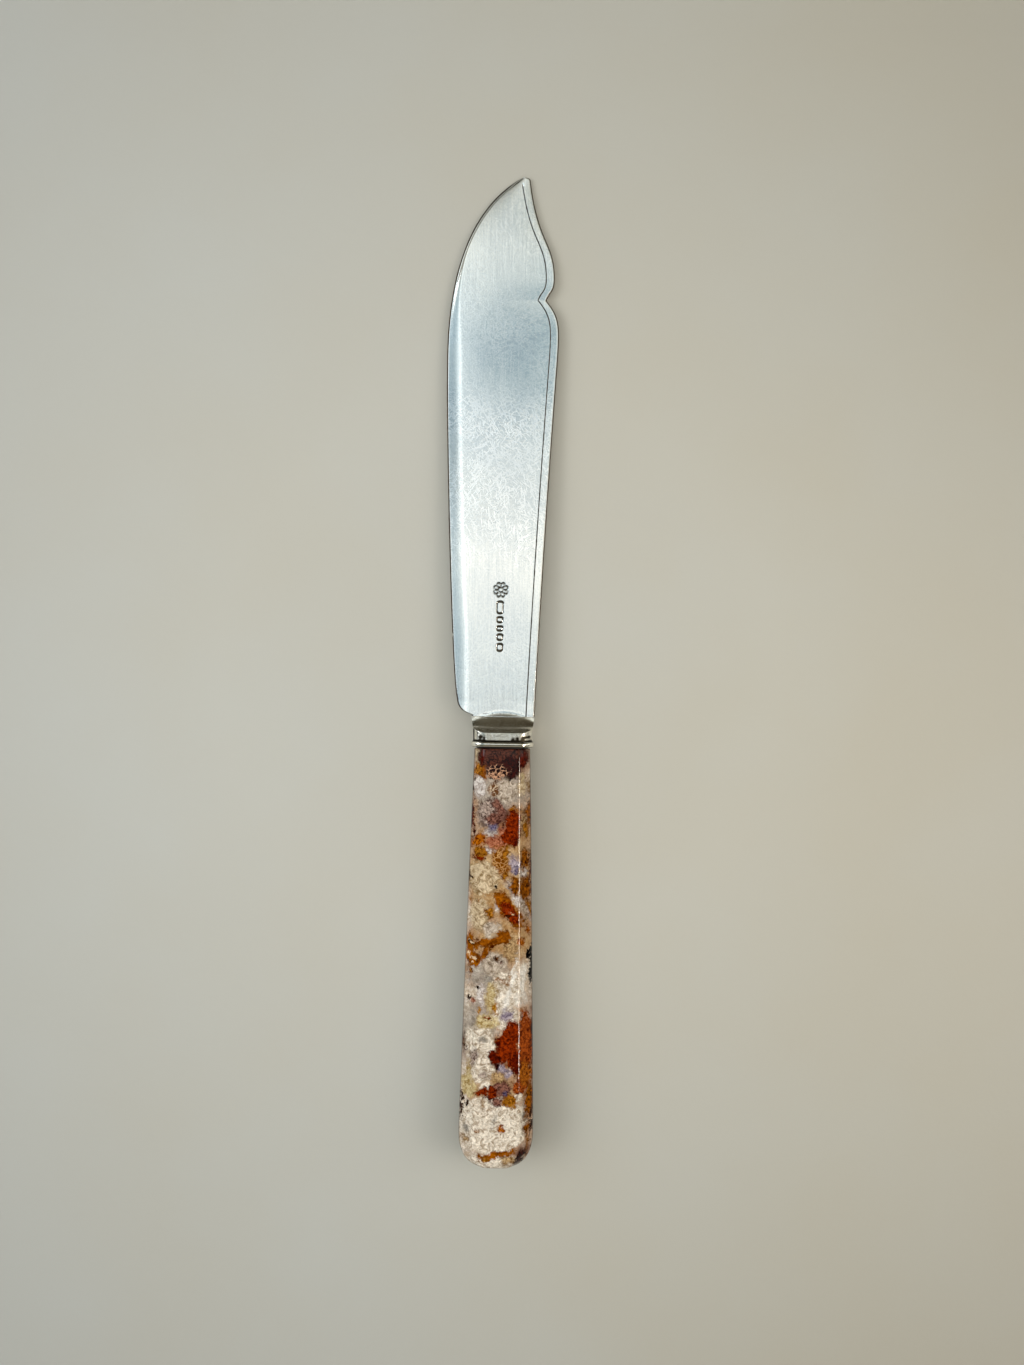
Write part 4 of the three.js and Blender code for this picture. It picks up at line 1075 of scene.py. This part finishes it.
# Cutler's cement, rosin with brick dust: poured hot, dark brown, gritty and dull
def makeCement(name, look):
    material, tree = newMaterial(name)
    place = addNode(tree, "ShaderNodeTexCoord").outputs["Object"]
    grit = addNode(tree, "ShaderNodeTexNoise", {
        "Vector": place, "Scale": 1 / (look["gritSize"] * mm), "Detail": 3.0}).outputs["Fac"]
    colour = addNode(tree, "ShaderNodeMix", {
        0: grit, 6: linear(look["dark"]), 7: linear(look["dust"])}, data_type="RGBA").outputs[2]
    normal = addNode(tree, "ShaderNodeBump", {"Height": grit, "Distance": look["gritDepth"] * mm}).outputs[0]
    shader = addNode(tree, "ShaderNodeBsdfPrincipled", {
        "Base Color": colour, "Roughness": look["roughness"], "Normal": normal})
    addNode(tree, "ShaderNodeOutputMaterial", {"Surface": shader.outputs[0]})
    return material


hidden = {
    "tang": makeSteel("forged_steel", {
        "dark": "#3C3D40", "bright": "#8A8B8C", "scaleSize": 1.2, "dent": 0.05,
        "roughLeast": 0.35, "roughMost": 0.7}),
    "tang_cement": makeCement("rosin_cement", {
        "dark": "#120C08", "dust": "#33231A", "gritSize": 0.3, "gritDepth": 0.03, "roughness": 0.75}),
}
for node, material in hidden.items():
    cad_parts[node].data.materials.clear()
    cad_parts[node].data.materials.append(material)
print("tang and cement finished")

# Table: plain pale laminate with a faint cloud and a fine tooth, with painted light and shade: lighter and
# cooler to the left, darker and warmer to the right, and darker away from the knife
floorLook = {
    "size": 3000.0, "under": 0.02,
    "litCool": "#B4B6B2", "shadedWarm": "#B1ADA0", "shadeWithin": 130.0, "cloudSize": 60.0,
    "evenTo": 60.0, "dimFrom": 230.0, "dimShare": 0.74,
    "toothSize": 1.2, "toothDepth": 0.02, "roughness": 0.6,
}


def makeFloor(s):
    material, tree = newMaterial("pale_laminate")
    place = addNode(tree, "ShaderNodeTexCoord").outputs["Object"]
    cloud = addNode(tree, "ShaderNodeTexNoise", {
        "Vector": place, "Scale": 1 / (s["cloudSize"] * mm), "Detail": 3.0}).outputs["Fac"]
    tooth = addNode(tree, "ShaderNodeTexNoise", {
        "Vector": place, "Scale": 1 / (s["toothSize"] * mm), "Detail": 2.0}).outputs["Fac"]
    # painted light and shade: lighter and cooler to the left, darker and warmer to the right
    across = addNode(tree, "ShaderNodeSeparateXYZ", {0: place}).outputs["X"]
    across = addNode(tree, "ShaderNodeMath", {
        0: across, 1: 0.5 / (s["shadeWithin"] * mm), 2: cloud}, operation="MULTIPLY_ADD").outputs[0]
    colour = addNode(tree, "ShaderNodeMix", {
        0: across, 6: linear(s["litCool"]), 7: linear(s["shadedWarm"])}, data_type="RGBA").outputs[2]
    # painted shade: the table is painted darker away from the knife
    far = addNode(tree, "ShaderNodeVectorMath", {0: place}, operation="LENGTH").outputs["Value"]
    dim = addNode(tree, "ShaderNodeMapRange", {
        "Value": far, "From Min": s["evenTo"] * mm, "From Max": s["dimFrom"] * mm,
        "To Min": 1.0, "To Max": s["dimShare"]}).outputs[0]
    colour = addNode(tree, "ShaderNodeVectorMath", {0: colour, "Scale": dim}, operation="SCALE").outputs[0]
    normal = addNode(tree, "ShaderNodeBump", {"Height": tooth, "Distance": s["toothDepth"] * mm}).outputs[0]
    shader = addNode(tree, "ShaderNodeBsdfPrincipled", {
        "Base Color": colour, "Roughness": s["roughness"], "Normal": normal})
    addNode(tree, "ShaderNodeOutputMaterial", {"Surface": shader.outputs[0]})
    half = s["size"] / 2 * mm
    corners = [(-half, -half, 0), (half, -half, 0), (half, half, 0), (-half, half, 0)]
    mesh = bpy.data.meshes.new("floor")
    mesh.from_pydata(corners, [], [(0, 1, 2, 3)])
    mesh.materials.append(material)
    floor = bpy.data.objects.new("floor", mesh)
    floor.location.z = cadBox[0].z - s["under"] * mm
    scene.collection.objects.link(floor)


makeFloor(floorLook)

# Backdrop: a plain wall round the table that only the camera sees, in views from the side. It glows with its
# own painted light, darker at its foot and lighter at its top.
wallLook = {
    "radius": 1000.0, "height": 800.0, "sides": 64,
    "low": "#6C6C64", "high": "#A4A39B", "cloudSize": 600.0, "cloudShare": 0.15,
}


def makeWall(s):
    material, tree = newMaterial("glowing_backdrop")
    place = addNode(tree, "ShaderNodeTexCoord").outputs["Object"]
    cloud = addNode(tree, "ShaderNodeTexNoise", {
        "Vector": place, "Scale": 1 / (s["cloudSize"] * mm), "Detail": 2.0}).outputs["Fac"]
    high = addNode(tree, "ShaderNodeSeparateXYZ", {0: place}).outputs["Z"]
    high = addNode(tree, "ShaderNodeMath", {
        0: high, 1: 1 / (s["height"] * mm)}, operation="MULTIPLY").outputs[0]
    high = addNode(tree, "ShaderNodeMath", {
        0: cloud, 1: s["cloudShare"], 2: high}, operation="MULTIPLY_ADD").outputs[0]
    colour = addNode(tree, "ShaderNodeMix", {
        0: high, 6: linear(s["low"]), 7: linear(s["high"])}, data_type="RGBA").outputs[2]
    # the wall gives out its colour as its own painted light; no lamp lights it
    glow = addNode(tree, "ShaderNodeEmission", {"Color": colour})
    addNode(tree, "ShaderNodeOutputMaterial", {"Surface": glow.outputs[0]})
    sides = s["sides"]
    turns = [2 * math.pi * k / sides for k in range(sides)]
    points = [(s["radius"] * mm * math.cos(a), s["radius"] * mm * math.sin(a), h * mm)
              for h in (0.0, s["height"]) for a in turns]
    faces = [(k, (k + 1) % sides, (k + 1) % sides + sides, k + sides) for k in range(sides)]
    mesh = bpy.data.meshes.new("wall")
    mesh.from_pydata(points, [], faces)
    mesh.materials.append(material)
    wall = bpy.data.objects.new("wall", mesh)
    scene.collection.objects.link(wall)
    wall.visible_diffuse = wall.visible_glossy = wall.visible_transmission = wall.visible_shadow = False


makeWall(wallLook)
print("table and wall made")

# Camera straight above the blade's face, as far off as gives the frame its height at the knife
camera = bpy.data.objects.new("camera", bpy.data.cameras.new("camera"))
scene.collection.objects.link(camera)
camera.data.lens = camera.data.sensor_width * cameraSetup["distance"] / cameraSetup["frameHeight"]
camera.data.clip_start = cameraSetup["nearest"] * mm
eye = knifePlace @ Vector((*cameraSetup["centre"], cameraSetup["distance"]))
camera.matrix_world = Matrix.Translation(eye) @ (
    knifeTurn @ Matrix.Rotation(math.radians(cameraSetup["lean"]), 3, "Z")).to_4x4()
scene.camera = camera
scene.view_settings.view_transform = "Standard"

# Room light: a pale ceiling over the blade and a dark one over the handle. Bands run across it, so the blade
# mirrors a soft glare near the heel and a cooler stretch behind the notch.
roomLight = {
    "strength": 2.4,
    # towards the tip, as the sine of the angle from straight up
    "alongBands": [
        (-1.0, "#7E7A6E"), (-0.5, "#625F54"), (-0.25, "#302E26"), (-0.1, "#303130"), (-0.03, "#323332"),
        (-0.011, "#363737"), (-0.003, "#B8BDBD"), (0.0, "#D0D6D6"), (0.06, "#D8DFDF"), (0.09, "#E4E6E2"),
        (0.107, "#FAF8F2"), (0.14, "#FFFEF8"), (0.157, "#D6D8D4"), (0.175, "#CED4D4"),
        (0.215, "#D6DEE0"), (0.25, "#D6E0E3"),
        (0.285, "#CFD9DB"), (0.3, "#D8E0E0"), (0.318, "#DCE1DF"), (0.336, "#E2E5E0"), (0.35, "#C4C4BA"),
        (0.42, "#7E7B70"), (0.6, "#4C473B"), (1.0, "#403B30"),
    ],
    # from the left to the right wall
    "acrossBands": [
        (-1.0, "#8E9192"), (-0.9, "#B4B7B8"), (-0.8, "#FFFFFF"), (-0.7, "#FFFFFF"), (-0.64, "#A6AFB4"),
        (-0.5, "#9EA8AE"), (-0.4, "#A8B0B4"),
        (-0.3, "#BEC3C5"), (-0.22, "#D6D8D8"), (-0.12, "#D2D3D2"), (-0.06, "#C4C5C5"), (0.0, "#C4C4C4"),
        (0.05, "#CACAC8"), (0.15, "#C6C5C0"), (0.3, "#A8A5A0"), (0.55, "#98948C"), (0.75, "#C8C4BA"),
        (1.0, "#EFEBE2"),
    ],
    # darker things overhead: where across and along, half sizes, share, tint
    "shades": [((0.035, 0.258), (0.1, 0.05), 0.88, "#8FA3AD"),
               ((-0.5, 0.19), (0.24, 0.07), 0.45, "#7E8E96")],
    "shadeCore": 0.7,   # share of a shade's size within which it is full
}


def makeRoom(s):
    world = bpy.data.worlds.new("room")
    world.use_nodes = True
    tree = world.node_tree
    tree.nodes.clear()
    look = addNode(tree, "ShaderNodeTexCoord").outputs["Generated"]
    parts = addNode(tree, "ShaderNodeSeparateXYZ", {0: look})
    bands = []
    for axis, stops in (("Y", s["alongBands"]), ("X", s["acrossBands"])):
        share = addNode(tree, "ShaderNodeMapRange", {
            "Value": parts.outputs[axis], "From Min": -1.0, "From Max": 1.0}).outputs[0]
        bands.append(addNode(tree, "ShaderNodeValToRGB", {0: share}, [
            (0.5 + 0.5 * position, colour) for position, colour in stops]).outputs[0])
    colour = addNode(tree, "ShaderNodeMix", {
        0: 1.0, 6: bands[0], 7: bands[1]}, data_type="RGBA", blend_type="MULTIPLY").outputs[2]
    for (across, along), (wide, tall), share, tint in s["shades"]:
        off = addNode(tree, "ShaderNodeVectorMath", {
            0: look, 1: (1 / wide, 1 / tall, 0), 2: (-across / wide, -along / tall, 0)},
            operation="MULTIPLY_ADD").outputs[0]
        far = addNode(tree, "ShaderNodeVectorMath", {0: off}, operation="LENGTH").outputs["Value"]
        inside = addNode(tree, "ShaderNodeMapRange", {
            "Value": far, "From Min": 1.0, "From Max": s["shadeCore"], "To Max": share},
            interpolation_type="SMOOTHSTEP").outputs[0]
        colour = addNode(tree, "ShaderNodeMix", {
            0: inside, 6: colour, 7: linear(tint)}, data_type="RGBA", blend_type="MULTIPLY").outputs[2]
    sky = addNode(tree, "ShaderNodeBackground", {"Color": colour, "Strength": s["strength"]})
    addNode(tree, "ShaderNodeOutputWorld", {"Surface": sky.outputs[0]})
    scene.world = world


makeRoom(roomLight)

# Lamps, placed and sized in metres, with their long sides along the knife: soft ones overhead and at both
# sides that light the table, and three strips that only the polish sees
lamps = {
    "overhead": {"at": (-0.05, 0.0, 0.42), "size": (0.8, 0.8), "watts": 1.66, "spread": 180,
                 "colour": "#FFFCF7", "seenBy": "matt"},
    "leftSide": {"at": (-0.55, 0.0, 0.5), "size": (0.45, 0.8), "watts": 0.52, "spread": 60,
                 "colour": "#FFFEFC", "seenBy": "matt"},
    "rightSide": {"at": (0.55, 0.0, 0.5), "size": (0.45, 0.8), "watts": 0.38, "spread": 60,
                  "colour": "#FFF6EA", "seenBy": "matt"},
    "rightStrip": {"at": (0.36, -0.103, 0.37), "size": (0.04, 0.17), "watts": 2.2, "spread": 180,
                   "colour": "#FFF3E2", "seenBy": "polish"},
    "shoulderStrip": {"at": (-0.155, 0.19, 0.8), "size": (0.15, 0.46), "watts": 0.04, "spread": 180,
                      "colour": "#FBFDFF", "seenBy": "polish"},
    "leftStrip": {"at": (-0.5, 0.145, 0.2), "size": (0.2, 0.31), "watts": 0.86, "spread": 180,
                  "colour": "#F4F8FF", "seenBy": "polish"},
}
for name, s in lamps.items():
    light = bpy.data.lights.new(name, "AREA")
    light.shape = "RECTANGLE"
    light.size, light.size_y = s["size"]
    light.energy = s["watts"]
    light.spread = math.radians(s["spread"])
    light.color = linear(s["colour"])[:3]
    lamp = bpy.data.objects.new(name, light)
    scene.collection.objects.link(lamp)
    back = Vector(s["at"]).normalized()
    long = (Vector((0, 1, 0)) - back * back.y).normalized()
    turn = Matrix((long.cross(back), long, back)).transposed()
    lamp.matrix_world = Matrix.Translation(s["at"]) @ turn.to_4x4()
    lamp.visible_glossy = s["seenBy"] == "polish"
    lamp.visible_diffuse = s["seenBy"] == "matt"
print("camera, room and lamps set")
